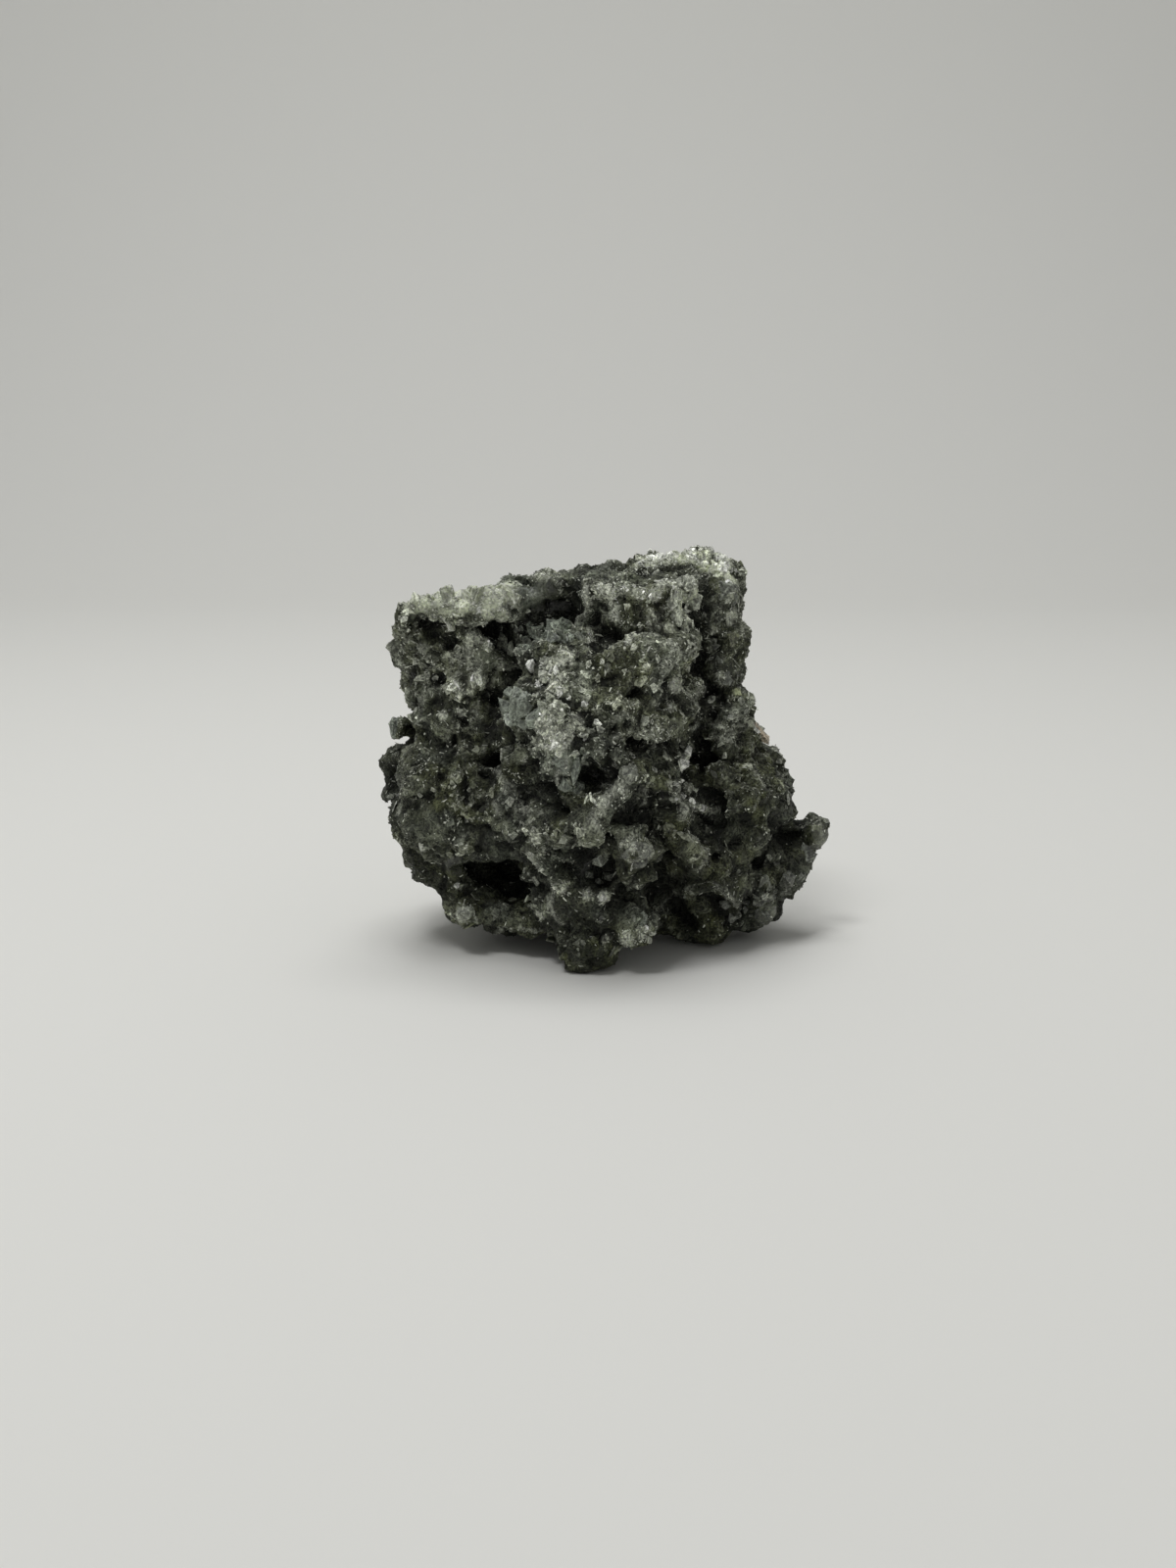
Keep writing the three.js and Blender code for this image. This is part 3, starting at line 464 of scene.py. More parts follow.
# The skin's relief in millimetres, weaker on clean faces, in the pale glass and on grey faces.
height = (
    (1.3 * (lump_round - 0.5) - 0.4 * lump_gap) * (1 - ragged) * (1 - 0.7 * in_front)
    + 0.6 * (knobby - 0.5) * (1 - 0.75 * zone) * (1 - ragged)
    + 1.5 * (scoop_distance**2 - 0.35) * ragged * (1 - 0.7 * in_front)
    + 0.35 * (bite_distance**2 - 0.35) * ragged * (1 - 0.6 * bare) * (1 - 0.4 * at_outline)
    + (1.0 + 0.6 * in_front) * (folds - 0.35)
    + 0.42 * (frills - 0.35) * (1 - 0.6 * bare) * (1 - 0.5 * at_outline)
    + 0.45 * big_druse * (1 - 0.3 * in_front)
    + 0.38 * druse * (0.35 + 0.65 * zone)
    + 0.16 * small_druse * (1 - 0.4 * bare) * (1 - 0.5 * at_outline)
    + 0.07 * crumb * (1 - 0.7 * bare) * (1 - 0.6 * at_outline)
    - 1.3 * pitted
) * (1 - 0.85 * calm) * (1 - 0.75 * in_pale) * (1 - 0.45 * in_grey)
height += moulded + 0.35 * lined
on_floor = blend_in(stone_points[:, 2], 0.3, 1.6)
skin_points = stone_points + outward * (height * on_floor)[:, None]
skin_points[:, 2] = np.maximum(skin_points[:, 2], 0)
skin_points = np.where(stone_points[:, 2:] < 0.35, stone_points, skin_points)

# How far each point stands out of its surroundings at three widths, for crests and hollows. The hollows are
# painted darker as shade further down.
facing = normals_of(skin_points, stone_quads)
ridge_small = ((skin_points - evened(skin_points, stone_edges, 3)) * facing).sum(1)
ridge_mid = ((skin_points - evened(skin_points, stone_edges, 24)) * facing).sum(1)
ridge_wide = ((skin_points - evened(skin_points, stone_edges, 160)) * facing).sum(1)

# SHADE_BLACK_GREEN is painted shade: the near-black laid into hollows, creases, clefts and the gaps between
# lumps.
SHADE_BLACK_GREEN = np.array([0.004, 0.005, 0.003])
MATRIX_DARK = np.array([0.021, 0.024, 0.014])
MATRIX_GREY = np.array([0.112, 0.121, 0.086])
OLIVE_TINT = np.array([0.092, 0.101, 0.044])
BLUE_TINT = np.array([0.205, 0.228, 0.186])
PALE_TINT = np.array([0.610, 0.650, 0.490])
FROST = np.array([0.700, 0.725, 0.620])


def tinted(colour, tint, share):
    return colour + (tint - colour) * share[:, None]


fleck = 0.5 * small_tone + 0.3 * crumb_tone + 0.2 * plate_tone
mottle = rough_noise(skin_points, 6, 800)
in_white = around(skin_points, WHITE_CRUST)
unseen = blend_in(outward @ sight_forward, -0.1, 0.4)
in_white = np.maximum(in_white, 0.75 * unseen * blend_in(rough_noise(skin_points, 10, 890), 0.22, 0.5))
in_blue = around(skin_points, BLUE_GREEN)
in_olive = around(skin_points, OLIVE)
# Painted shade: the DARK marks together with the clefts and pits that the moulding pushes in.
in_painted_shade = np.maximum(0.75 * around(skin_points, DARK), np.clip(-moulded / 2.4, 0, 1))
high_up = blend_in(skin_points[:, 2], 6, 60)
crests = share_above(ridge_small, 84, 97)
# Painted shade: these hollows and deep recesses are darkened towards near-black in the skin's colour.
hollows = share_above(-ridge_mid, 55, 93) * (1 - 0.6 * in_white) * (1 - 0.7 * in_pale)
deep = share_above(-ridge_wide, 60, 96) * (1 - 0.6 * in_white) * (1 - 0.7 * in_pale)
# Paler towards the top of the stone and darker low down: partly the paler crust up there, partly painted
# overhead light and painted shade on the lower half.
skin_colour_and_painted_light = tinted(
    np.tile(MATRIX_DARK, (len(skin_points), 1)),
    MATRIX_GREY,
    (0.1 + 0.9 * fleck**1.5) * (0.23 + 1.30 * high_up) * (0.45 + 1.0 * lump_tone),
)
mossy = np.clip(0.7 * in_olive + 0.5 * blend_in(mottle, 0.1, 0.6) + 0.5 * (lump_hue < 0.3), 0, 0.8)
mossy = mossy * (1 - in_white)
bluish = np.clip(0.8 * in_blue + 0.3 * blend_in(-mottle, 0.2, 0.7) + 0.45 * (lump_hue > 0.8), 0, 1)
torn_edge = np.maximum(blend_in(frills, 0.62, 0.85), 0.7 * blend_in(folds, 0.6, 0.8))
torn_edge = np.maximum(0.6 * scoop_edge * ragged, torn_edge)
frosted = blend_in(rough_noise(skin_points, 3.5, 870), -0.25, 0.3) * (0.12 + 0.5 * high_up + 0.3 * in_white)
for tint, share in (
    (OLIVE_TINT, mossy * (0.3 + 0.7 * fleck)),
    (BLUE_TINT, bluish * (0.4 + 0.5 * fleck) * (0.5 + 0.5 * high_up)),
    (MATRIX_GREY * 1.6, 0.75 * in_grey * (0.35 + 0.65 * fleck)),
    (PALE_TINT, in_pale * (0.6 + 0.4 * fleck)),
    (PALE_TINT * 0.55, 0.85 * in_white * (0.5 + 0.5 * fleck)),
    (FROST, 0.85 * in_white * blend_in(fleck, 0.35, 0.7)),
    # Whiter on small crests and torn frill edges: partly real frost, partly painted highlight along the
    # edges.
    (FROST, crests * blend_in(crumb_tone, 0.3, 0.9) * (0.10 + 0.35 * high_up + 0.4 * in_white)),
    (FROST, np.clip(torn_edge * frosted, 0, 1)),
    # Painted shade in the troughs between the frill crests.
    (SHADE_BLACK_GREEN, 0.55 * (1 - blend_in(frills, 0.05, 0.3)) * (1 - in_pale) * (1 - 0.6 * in_white)),
    # Painted shade at the DARK marks, clefts and pits.
    (MATRIX_DARK, 0.85 * in_painted_shade),
    # Painted shade in the middle-sized hollows.
    (SHADE_BLACK_GREEN, 0.88 * hollows),
    # Painted shade in the creases between lumps.
    (SHADE_BLACK_GREEN, 0.7 * lump_gap * (1 - in_white) * (1 - ragged)),
    # Painted shade in the wide, deep recesses.
    (SHADE_BLACK_GREEN, 0.78 * deep),
    # Painted shade in the clefts and pits pushed in by the moulding.
    (SHADE_BLACK_GREEN, 0.6 * np.clip(-moulded / 2.8, 0, 1)),
    (FROST * 0.85, 0.85 * lined * (0.45 + 0.55 * fleck)),
):
    skin_colour_and_painted_light = tinted(skin_colour_and_painted_light, tint, share)


def stone_finish(name, roughness, gleam, clear, bump, broken=1.0):
    """Material of grown mineral: the colour set point by point, broken up by fine cells, pale
    seams and dark pores, with a gleam that comes and goes and a fine bump."""
    made = bpy.data.materials.new(name)
    made.use_nodes = True
    tree = made.node_tree
    shader = tree.nodes["Principled BSDF"]

    def node(kind, operation=None, **inputs):
        new = tree.nodes.new("ShaderNode" + kind)
        if operation:
            new.operation = operation
        for key, value in inputs.items():
            new.inputs[key.replace("_", " ")].default_value = value
        return new

    def ranged(value, low, high, start, end):
        new = node("MapRange", From_Min=low, From_Max=high, To_Min=start, To_Max=end)
        tree.links.new(value, new.inputs["Value"])
        return new.outputs["Result"]

    def worked(kind, operation, *values):
        """The result of a maths node from other nodes' outputs and fixed values."""
        new = node(kind, operation)
        for socket, value in zip(new.inputs, values):
            if isinstance(value, bpy.types.NodeSocket):
                tree.links.new(value, socket)
            else:
                socket.default_value = value
        return new.outputs[0]

    def texture(kind, place, **inputs):
        new = node("Tex" + kind, **inputs)
        tree.links.new(place, new.inputs["Vector"])
        return new

    def line_along(noise, wide):
        away = worked("Math", "ABSOLUTE", worked("Math", "SUBTRACT", noise.outputs["Fac"], 0.5))
        return ranged(away, 0.25 * wide, wide, 1.0, 0.0)

    place = node("TexCoord").outputs["Object"]
    swirl = texture("Noise", place, Scale=600.0, Detail=2.0)
    bent_place = worked("VectorMath", "MULTIPLY_ADD", swirl.outputs["Color"], (0.0011, 0.0011, 0.0011), place)
    stretched = worked("VectorMath", "MULTIPLY", bent_place, (1.0, 0.7, 0.55))
    cells = texture("Voronoi", stretched, Scale=1900.0)
    cells.distance = "MANHATTAN"
    pores = texture("Voronoi", bent_place, Scale=520.0)
    grain = texture("Noise", bent_place, Scale=2600.0, Detail=4.0)
    patches = texture("Noise", bent_place, Scale=230.0, Detail=2.0)
    winding = texture("Noise", bent_place, Scale=330.0, Detail=3.0)
    curling = texture("Noise", bent_place, Scale=760.0, Detail=2.0)
    cell = node("SeparateColor")
    tree.links.new(cells.outputs["Color"], cell.inputs["Color"])
    cell_tone = ranged(cell.outputs["Red"], 0.0, 1.0, 1 - 0.42 * broken, 1 + 0.55 * broken)
    grain_tone = ranged(grain.outputs["Fac"], 0.38, 0.64, 1 - 0.6 * broken, 1 + 0.9 * broken)
    pore_tone = ranged(pores.outputs["Distance"], 0.08, 0.24, 1 - 0.75 * broken, 1.0)
    tone = worked("Math", "MULTIPLY", worked("Math", "MULTIPLY", cell_tone, grain_tone), pore_tone)
    toned = node("VectorMath", "SCALE")
    colour = node("Attribute")
    colour.attribute_name = "stone_colour"
    tree.links.new(colour.outputs["Color"], toned.inputs[0])
    tree.links.new(tone, toned.inputs["Scale"])

    line = worked("Math", "MAXIMUM", line_along(winding, 0.022), line_along(curling, 0.038))
    seam = worked("Math", "MULTIPLY", line, ranged(patches.outputs["Fac"], 0.40, 0.56, 0.0, 0.95 * broken))
    lifted = (0.045, 0.046, 0.038)
    paler = worked("VectorMath", "MULTIPLY_ADD", colour.outputs["Color"], (2.4, 2.4, 2.4), lifted)
    blend = node("Mix")
    blend.data_type = "RGBA"
    tree.links.new(seam, blend.inputs["Factor"])
    tree.links.new(toned.outputs["Vector"], blend.inputs[6])
    tree.links.new(paler, blend.inputs[7])
    tree.links.new(blend.outputs[2], shader.inputs["Base Color"])

    gleaming = texture("Noise", place, Scale=900.0)
    tree.links.new(ranged(gleaming.outputs["Fac"], 0.35, 0.65, *roughness), shader.inputs["Roughness"])
    relief = node("Bump", Strength=bump, Distance=0.3 * MM)
    tree.links.new(worked("Math", "MULTIPLY_ADD", seam, 1.2, tone), relief.inputs["Height"])
    tree.links.new(relief.outputs["Normal"], shader.inputs["Normal"])
    shader.inputs["Specular IOR Level"].default_value = gleam
    shader.inputs["IOR"].default_value = 1.62
    shader.inputs["Transmission Weight"].default_value = clear
    return made


def translucent(material, weight, radius, scale):
    """Lets light spread under the surface of a material."""
    shader = material.node_tree.nodes["Principled BSDF"]
    shader.inputs["Subsurface Weight"].default_value = weight
    shader.inputs["Subsurface Radius"].default_value = radius
    shader.inputs["Subsurface Scale"].default_value = scale


def grown(made, material):
    """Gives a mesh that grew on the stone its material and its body."""
    made.data.materials.append(material)
    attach(made, "root")


skin = mesh_from("prehnite_skin", skin_points, stone_quads, skin_colour_and_painted_light)
skin.data.materials.append(stone_finish("prehnite_matrix", (0.45, 0.9), 0.25, 0.0, 0.5))
milky = stone_finish("prehnite_milky", (0.2, 0.5), 0.5, 0.0, 0.3, 0.5)
translucent(milky, 0.5, (1.0, 1.1, 0.75), 1.6 * MM)
skin.data.materials.append(milky)
milky_share = np.maximum(np.maximum(in_pale, calm), in_white)[stone_quads].mean(1)
skin.data.polygons.foreach_set("material_index", (milky_share > MILKY_FROM).astype(np.int32))
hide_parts("prehnite_stone")
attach(skin, "root")


# Dark grains of the matrix: gritty broken crystals under a millimetre across. They are grown all
# over it, rooted in the skin to half their height, with few on clean faces and along the outline.
GRAIN_COUNT = 12000
GRAIN_SIZE = (0.10, 0.29)
GRAIN_SHAPES = 14


def hull(corners):
    """The closed solid of flat triangles around some points."""
    solid = bmesh.new()
    for corner in corners:
        solid.verts.new(corner)
    bmesh.ops.convex_hull(solid, input=solid.verts)
    bmesh.ops.delete(solid, geom=[v for v in solid.verts if not v.link_faces], context="VERTS")
    bmesh.ops.triangulate(solid, faces=solid.faces)
    bmesh.ops.recalc_face_normals(solid, faces=solid.faces)
    solid.verts.index_update()
    return solid


def random_way(rng):
    way = rng.normal(size=3)
    return way / np.linalg.norm(way)


def chunk_shape(rng, corners):
    """An angular chip with flat faces: its points, its triangles and no lighter rim."""
    solid = hull([random_way(rng) * rng.uniform(0.8, 1.1) for _ in range(corners)])
    points = np.array([tuple(v.co) for v in solid.verts])
    triangles = np.array([[v.index for v in f.verts] for f in solid.faces])
    solid.free()
    return points, triangles, np.zeros(len(points))


def strewn(rng, weight, count):
    """Random places on the skin, more where the weight is high, with the skin point next to each."""
    a, b, c, d = (skin_points[stone_quads[:, n]] for n in range(4))
    area = np.linalg.norm(np.cross(c - a, d - b), axis=1)
    chance = np.cumsum(area * weight[stone_quads].mean(1))
    face = np.searchsorted(chance, rng.random(count) * chance[-1])
    s, t = rng.random((2, count, 1))
    place = (a[face] * (1 - s) + b[face] * s) * (1 - t) + (d[face] * (1 - s) + c[face] * s) * t
    return place, stone_quads[face, 0]


def turned(rng, normal, lean):
    """Axes for pieces that stand on the skin, each leaning from its normal by up to that many radians."""
    way = rng.normal(size=normal.shape)
    along = np.cross(normal, way)
    along /= np.linalg.norm(along, axis=1)[:, None]
    tilt = (rng.random(len(normal)) * lean)[:, None]
    up = normal * np.cos(tilt) + along * np.sin(tilt)
    side = np.cross(up, way)
    side /= np.linalg.norm(side, axis=1)[:, None]
    return side, np.cross(up, side), up


def strewn_mesh(name, rng, shapes, place, axes, size, colour, rim_colour=None):
    """One mesh of many pieces: each takes one of the shapes, its place, axes, three sizes and colour."""
    which = rng.integers(len(shapes), size=len(place))
    all_points, all_triangles, all_colours = [], [], []
    start = 0
    for number, (points, triangles, rim) in enumerate(shapes):
        chosen = np.nonzero(which == number)[0]
        local = points[None] * size[chosen][:, None, :]
        world = place[chosen][:, None]
        world = world + sum(local[:, :, n, None] * axes[n][chosen][:, None] for n in range(3))
        tone = np.repeat(colour[chosen][:, None], len(points), 1)
        if rim_colour is not None:
            tone = tone + (rim_colour[chosen][:, None] - tone) * rim[None, :, None]
        first = start + np.arange(len(chosen)) * len(points)
        all_points.append(world.reshape(-1, 3))
        all_colours.append(tone.reshape(-1, 3))
        all_triangles.append((triangles[None] + first[:, None, None]).reshape(-1, 3))
        start += len(chosen) * len(points)
    points = np.concatenate(all_points)
    points[:, 2] = np.maximum(points[:, 2], 0)
    return mesh_from(name, points, np.concatenate(all_triangles), np.concatenate(all_colours))


rng = np.random.default_rng(11)
grain_shapes = [chunk_shape(rng, 9) for _ in range(GRAIN_SHAPES)]
even_here = (1 - 0.9 * calm) * (1 - 0.9 * in_pale) * (1 - 0.5 * in_grey)
even_here = even_here * (1 - 0.75 * bare) * (1 - 0.7 * at_outline)
grain_weight = (0.15 + 1.2 * mossy + 0.5 * (1 - zone)) * even_here * blend_in(skin_points[:, 2], 0.2, 1.0)
grain_place, grain_skin = strewn(rng, grain_weight, GRAIN_COUNT)
grain_axes = turned(rng, facing[grain_skin], 1.2)
grain_size = rng.uniform(*GRAIN_SIZE, (GRAIN_COUNT, 1)) * rng.uniform(0.7, 1.25, (GRAIN_COUNT, 3))
grain_tone = np.exp(rng.normal(-0.05, 0.45, GRAIN_COUNT))[:, None]
# The grains take the skin's colour, painted shade and painted highlight included.
grain_colour = np.clip(skin_colour_and_painted_light[grain_skin] * grain_tone + MATRIX_DARK * 0.1, 0, 0.7)
grains = strewn_mesh("matrix_grains", rng, grain_shapes, grain_place, grain_axes, grain_size, grain_colour)
grown(grains, stone_finish("prehnite_grit", (0.35, 0.8), 0.3, 0.0, 0.3, 0.6))


# Sugar of paler prehnite: small clearer crystals that crust the tops of the lumps and the crests,
# rooted in the skin like the grains and whiter towards the top of the stone.
SUGAR_COUNT = 13800
SUGAR_SIZE = (0.09, 0.27)

rng = np.random.default_rng(12)
sugar_weight = (
    0.25
    + 1.6 * in_white
    + 0.7 * in_blue
    + 0.8 * crests
    + 0.5 * high_up
    + 0.8 * blend_in(rough_noise(skin_points, 7, 820), 0.1, 0.5)
) * (1 - 0.85 * hollows) * (1 - 0.8 * in_painted_shade) * even_here * blend_in(skin_points[:, 2], 0.4, 1.4)
sugar_place, sugar_skin = strewn(rng, sugar_weight, SUGAR_COUNT)
sugar_axes = turned(rng, facing[sugar_skin], 1.0)
sugar_size = rng.uniform(*SUGAR_SIZE, (SUGAR_COUNT, 1)) * rng.uniform(0.65, 1.3, (SUGAR_COUNT, 3))
whiteness = (0.02 + 0.45 * high_up + 0.8 * in_white + 0.4 * in_pale)[sugar_skin]
whiteness = np.clip(rng.beta(0.9, 3.2, SUGAR_COUNT) * whiteness, 0, 1)
# The sugar takes the skin's colour, painted shade and painted highlight included.
sugar_colour = tinted(skin_colour_and_painted_light[sugar_skin] * 1.2, FROST, whiteness)
sugar = strewn_mesh("pale_sugar", rng, grain_shapes, sugar_place, sugar_axes, sugar_size, sugar_colour)
grown(sugar, stone_finish("prehnite_sugar", (0.35, 0.7), 0.35, 0.0, 0.2, 0.6))


# Small tablets of prehnite: thin flat crystals with worn paler rims. They grew out of the crust
# and lean in it, a quarter of them on edge.
TABLET_COUNT = 2600
TABLET_SIZE = (0.30, 1.30)


def tablet_shape(rng, corners):
    """A thin uneven tablet with a rim that can be lighter than its middle."""
    turn = np.sort(rng.random(corners) * 0.7 + np.arange(corners)) * 2 * math.pi / corners
    reach = rng.uniform(0.55, 1.25, corners)
    ring = np.stack([np.cos(turn) * reach, np.sin(turn) * reach * 0.8], 1)
    top = np.concatenate([ring * 0.92, np.full((corners, 1), 0.5)], 1)
    bottom = np.concatenate([ring, np.full((corners, 1), -0.5)], 1)
    points = np.concatenate([top, bottom, [[0, 0, 0.62], [0, 0, -0.62]]])
    points[:, 2] += rng.uniform(-0.12, 0.12, len(points))
    triangles = []
    for n in range(corners):
        m = (n + 1) % corners
        triangles += [
            (n, m, 2 * corners), (m + corners, n + corners, 2 * corners + 1),
            (n + corners, m + corners, m), (n + corners, m, n),
        ]
    rim = np.concatenate([np.ones(corners), np.full(corners, 0.7), [0, 0]])
    return points, np.array(triangles), rim


rng = np.random.default_rng(13)
tablet_shapes = [tablet_shape(rng, corners) for corners in (4, 4, 5, 5, 5, 6, 4, 5, 6, 4, 5, 5)]
tablet_weight = (
    0.10
    + 1.0 * blend_in(rough_noise(skin_points, 6, 840), 0.15, 0.45)
    + 0.9 * in_white
    + 0.9 * in_blue
) * (1 - 0.7 * hollows) * (1 - 0.7 * in_painted_shade) * even_here * blend_in(skin_points[:, 2], 1.2, 2.6)
tablet_place, tablet_skin = strewn(rng, tablet_weight, TABLET_COUNT)
upright = turned(rng, facing[tablet_skin], 0.75)
on_edge = (rng.random(TABLET_COUNT) < 0.25)[:, None]
tablet_axes = tuple(np.where(on_edge, upright[n - 1], upright[n]) for n in range(3))
tablet_scale = rng.uniform(0, 1, TABLET_COUNT)[:, None] ** 2
tablet_size = TABLET_SIZE[0] + (TABLET_SIZE[1] - TABLET_SIZE[0]) * tablet_scale * (1 - 0.7 * on_edge)
tablet_size = tablet_size * [1.0, 0.9, 0.0] * rng.uniform(0.8, 1.2, (TABLET_COUNT, 3))
tablet_size = tablet_size + rng.uniform(0.14, 0.3, (TABLET_COUNT, 1)) * [0, 0, 1]
# The tablets take the skin's colour, painted shade and painted highlight included.
tablet_colour = np.clip(skin_colour_and_painted_light[tablet_skin] * rng.uniform(0.8, 1.9, (TABLET_COUNT, 1)), 0, 0.6)
rim_share = (0.30 + 0.75 * high_up + 0.7 * in_white)[tablet_skin]
rim_share = np.clip(rng.beta(1.1, 1.7, TABLET_COUNT) * rim_share, 0, 0.75)
tablet_rim = tinted(tablet_colour * 1.5, FROST, rim_share)
tablets = strewn_mesh(
    "prehnite_tablets", rng, tablet_shapes, tablet_place, tablet_axes, tablet_size, tablet_colour,
    tablet_rim,
)
grown(tablets, stone_finish("prehnite_tablet", (0.2, 0.5), 0.5, 0.0, 0.25, 0.8))


# White frost: thin slivers and flakes of broken prehnite that cling to the crests and to the
# white patches, lifted a little off the skin.
FLAKE_COUNT = 11000
FLAKE_LENGTH = (0.20, 0.95)
FLAKE_LIFT = 0.11

rng = np.random.default_rng(14)
flake_shapes = [chunk_shape(rng, 5) for _ in range(10)]
flake_weight = (
    0.03
    + 1.6 * in_white
    + 0.15 * in_pale
    + 1.2 * crests * (0.02 + 0.9 * high_up)
    + 0.9 * blend_in(rough_noise(skin_points, 5, 860), 0.3, 0.6) * (0.03 + 0.9 * high_up)
) * (1 - 0.9 * hollows) * (1 - 0.85 * in_painted_shade) * (1 - 0.8 * at_outline)
flake_weight = flake_weight * blend_in(skin_points[:, 2], 1.0, 2.4)
flake_place, flake_skin = strewn(rng, flake_weight, FLAKE_COUNT)
flake_axes = turned(rng, facing[flake_skin], 0.6)
flake_size = np.stack(
    [
        FLAKE_LENGTH[0] + (FLAKE_LENGTH[1] - FLAKE_LENGTH[0]) * rng.random(FLAKE_COUNT) ** 2.5,
        rng.uniform(0.10, 0.26, FLAKE_COUNT),
        rng.uniform(0.05, 0.12, FLAKE_COUNT),
    ],
    1,
)
flake_colour = np.tile(FROST, (FLAKE_COUNT, 1)) * rng.uniform(0.3, 1.15, (FLAKE_COUNT, 1))
flake_place = flake_place + facing[flake_skin] * FLAKE_LIFT
flakes = strewn_mesh("frost_flakes", rng, flake_shapes, flake_place, flake_axes, flake_size, flake_colour)
grown(flakes, stone_finish("prehnite_frost", (0.4, 0.7), 0.4, 0.0, 0.1, 0.3))


# Thin curled edges of broken plates: chains of slivers that wind over the skin, some white, some
# only a little paler than the stone, with the clearest of them laid where the photograph has them.
CURL_COUNT = 1500
CURL_STEP = 0.34
CURL_SPANS = ((0.16, 0.34), (0.05, 0.12), (0.08, 0.24))
skin_tree = smooth_tree(skin_points, stone_quads)


def curl(rng, place, normal, steps):
    """Places, ways along and normals of a line that winds over the skin from a place."""
    way = np.cross(normal, rng.normal(size=3))
    bend = rng.normal(0, 0.25)
    stops = []
    for _ in range(steps):
        bend = 0.75 * bend + rng.normal(0, 0.22)
        way = way + bend * np.cross(normal, way)
        way = way - normal * (way @ normal)
        way /= max(np.linalg.norm(way), 1e-6)
        found, facing_there, _, _ = skin_tree.find_nearest(Vector(place + way * CURL_STEP))
        place, normal = np.array(found), np.array(facing_there)
        stops.append((place, way.copy(), normal))
    return stops


def traced(path):
    """The same for a line given as a path of pixels."""
    stops = []
    for (u, v), (u_next, v_next) in zip(pixels(path), pixels(path)[1:]):
        count = max(1, round(math.hypot(u_next - u, v_next - v) / PIXELS_PER_MM / CURL_STEP))
        for n in range(count):
            place, normal = spot(skin_tree, u + (u_next - u) * n / count, v + (v_next - v) * n / count)
            way = sight_right * (u_next - u) - sight_up * (v_next - v)
            way = way - normal * (way @ normal)
            stops.append((place, way / max(np.linalg.norm(way), 1e-6), normal))
    return stops


rng = np.random.default_rng(15)
curl_shapes = [chunk_shape(rng, 6) for _ in range(10)]
curl_weight = (
    0.12 + 1.0 * high_up + 1.2 * in_white + 0.6 * ragged + 1.0 * crests
) * (1 - 0.8 * hollows) * (1 - 0.6 * in_painted_shade) * (1 - 0.85 * calm) * (1 - 0.8 * in_pale)
curl_weight = curl_weight * (1 - 0.8 * at_outline) * blend_in(skin_points[:, 2], 1.0, 2.4)
curl_place, curl_skin = strewn(rng, curl_weight, CURL_COUNT)
stops, stop_colour = [], []
for place, n in zip(curl_place, curl_skin):
    chain = curl(rng, place, facing[n], rng.integers(3, 13))
    white = rng.beta(1.1, 2.0) * (0.12 + 0.8 * high_up[n] + 0.6 * in_white[n])
    # The curls take the skin's colour, painted shade and painted highlight included.
    tone = skin_colour_and_painted_light[n] * 1.7 + (FROST - skin_colour_and_painted_light[n] * 1.7) * min(white, 0.95)
    stops += chain
    stop_colour += [tone * rng.uniform(0.7, 1.2) for _ in chain]
for _, white, *path in EDGES:
    chain = traced(path)
    stops += chain
    stop_colour += [FROST * white * rng.uniform(0.5, 1.25) for _ in chain]
place, way, normal = (np.array([stop[n] for stop in stops]) for n in range(3))
curl_axes = (way, np.cross(normal, way), normal)
curl_size = np.stack([rng.uniform(*span, len(stops)) for span in CURL_SPANS], 1)
place = place + rng.normal(0, 0.05, place.shape)
curl_colour = np.clip(np.array(stop_colour), 0, 0.85)
curls = strewn_mesh("curled_edges", rng, curl_shapes, place, curl_axes, curl_size, curl_colour)
grown(curls, stone_finish("prehnite_edge", (0.3, 0.6), 0.4, 0.0, 0.1, 0.4))


# The larger single crystals that show one by one: glassy plates, blocks, knobs and rods of
# prehnite, most of them cloudy and pale to blue-green. Each is rooted in the crust at its pixel.
CLEAR = np.array([0.62, 0.66, 0.50])
CLOUD = np.array([0.48, 0.51, 0.41])
SNOW = np.array([0.86, 0.88, 0.80])
SEA = np.array([0.205, 0.230, 0.186])
STEEL = np.array([0.100, 0.108, 0.088])
MOSS = np.array([0.090, 0.096, 0.055])
ROSE = np.array([0.34, 0.29, 0.22])
SQUARENESS = {"knob": 1.0, "block": 0.7, "plate": 0.8, "rod": 0.8}
CORNERS = {"knob": 22, "block": 12, "plate": 13, "rod": 10}


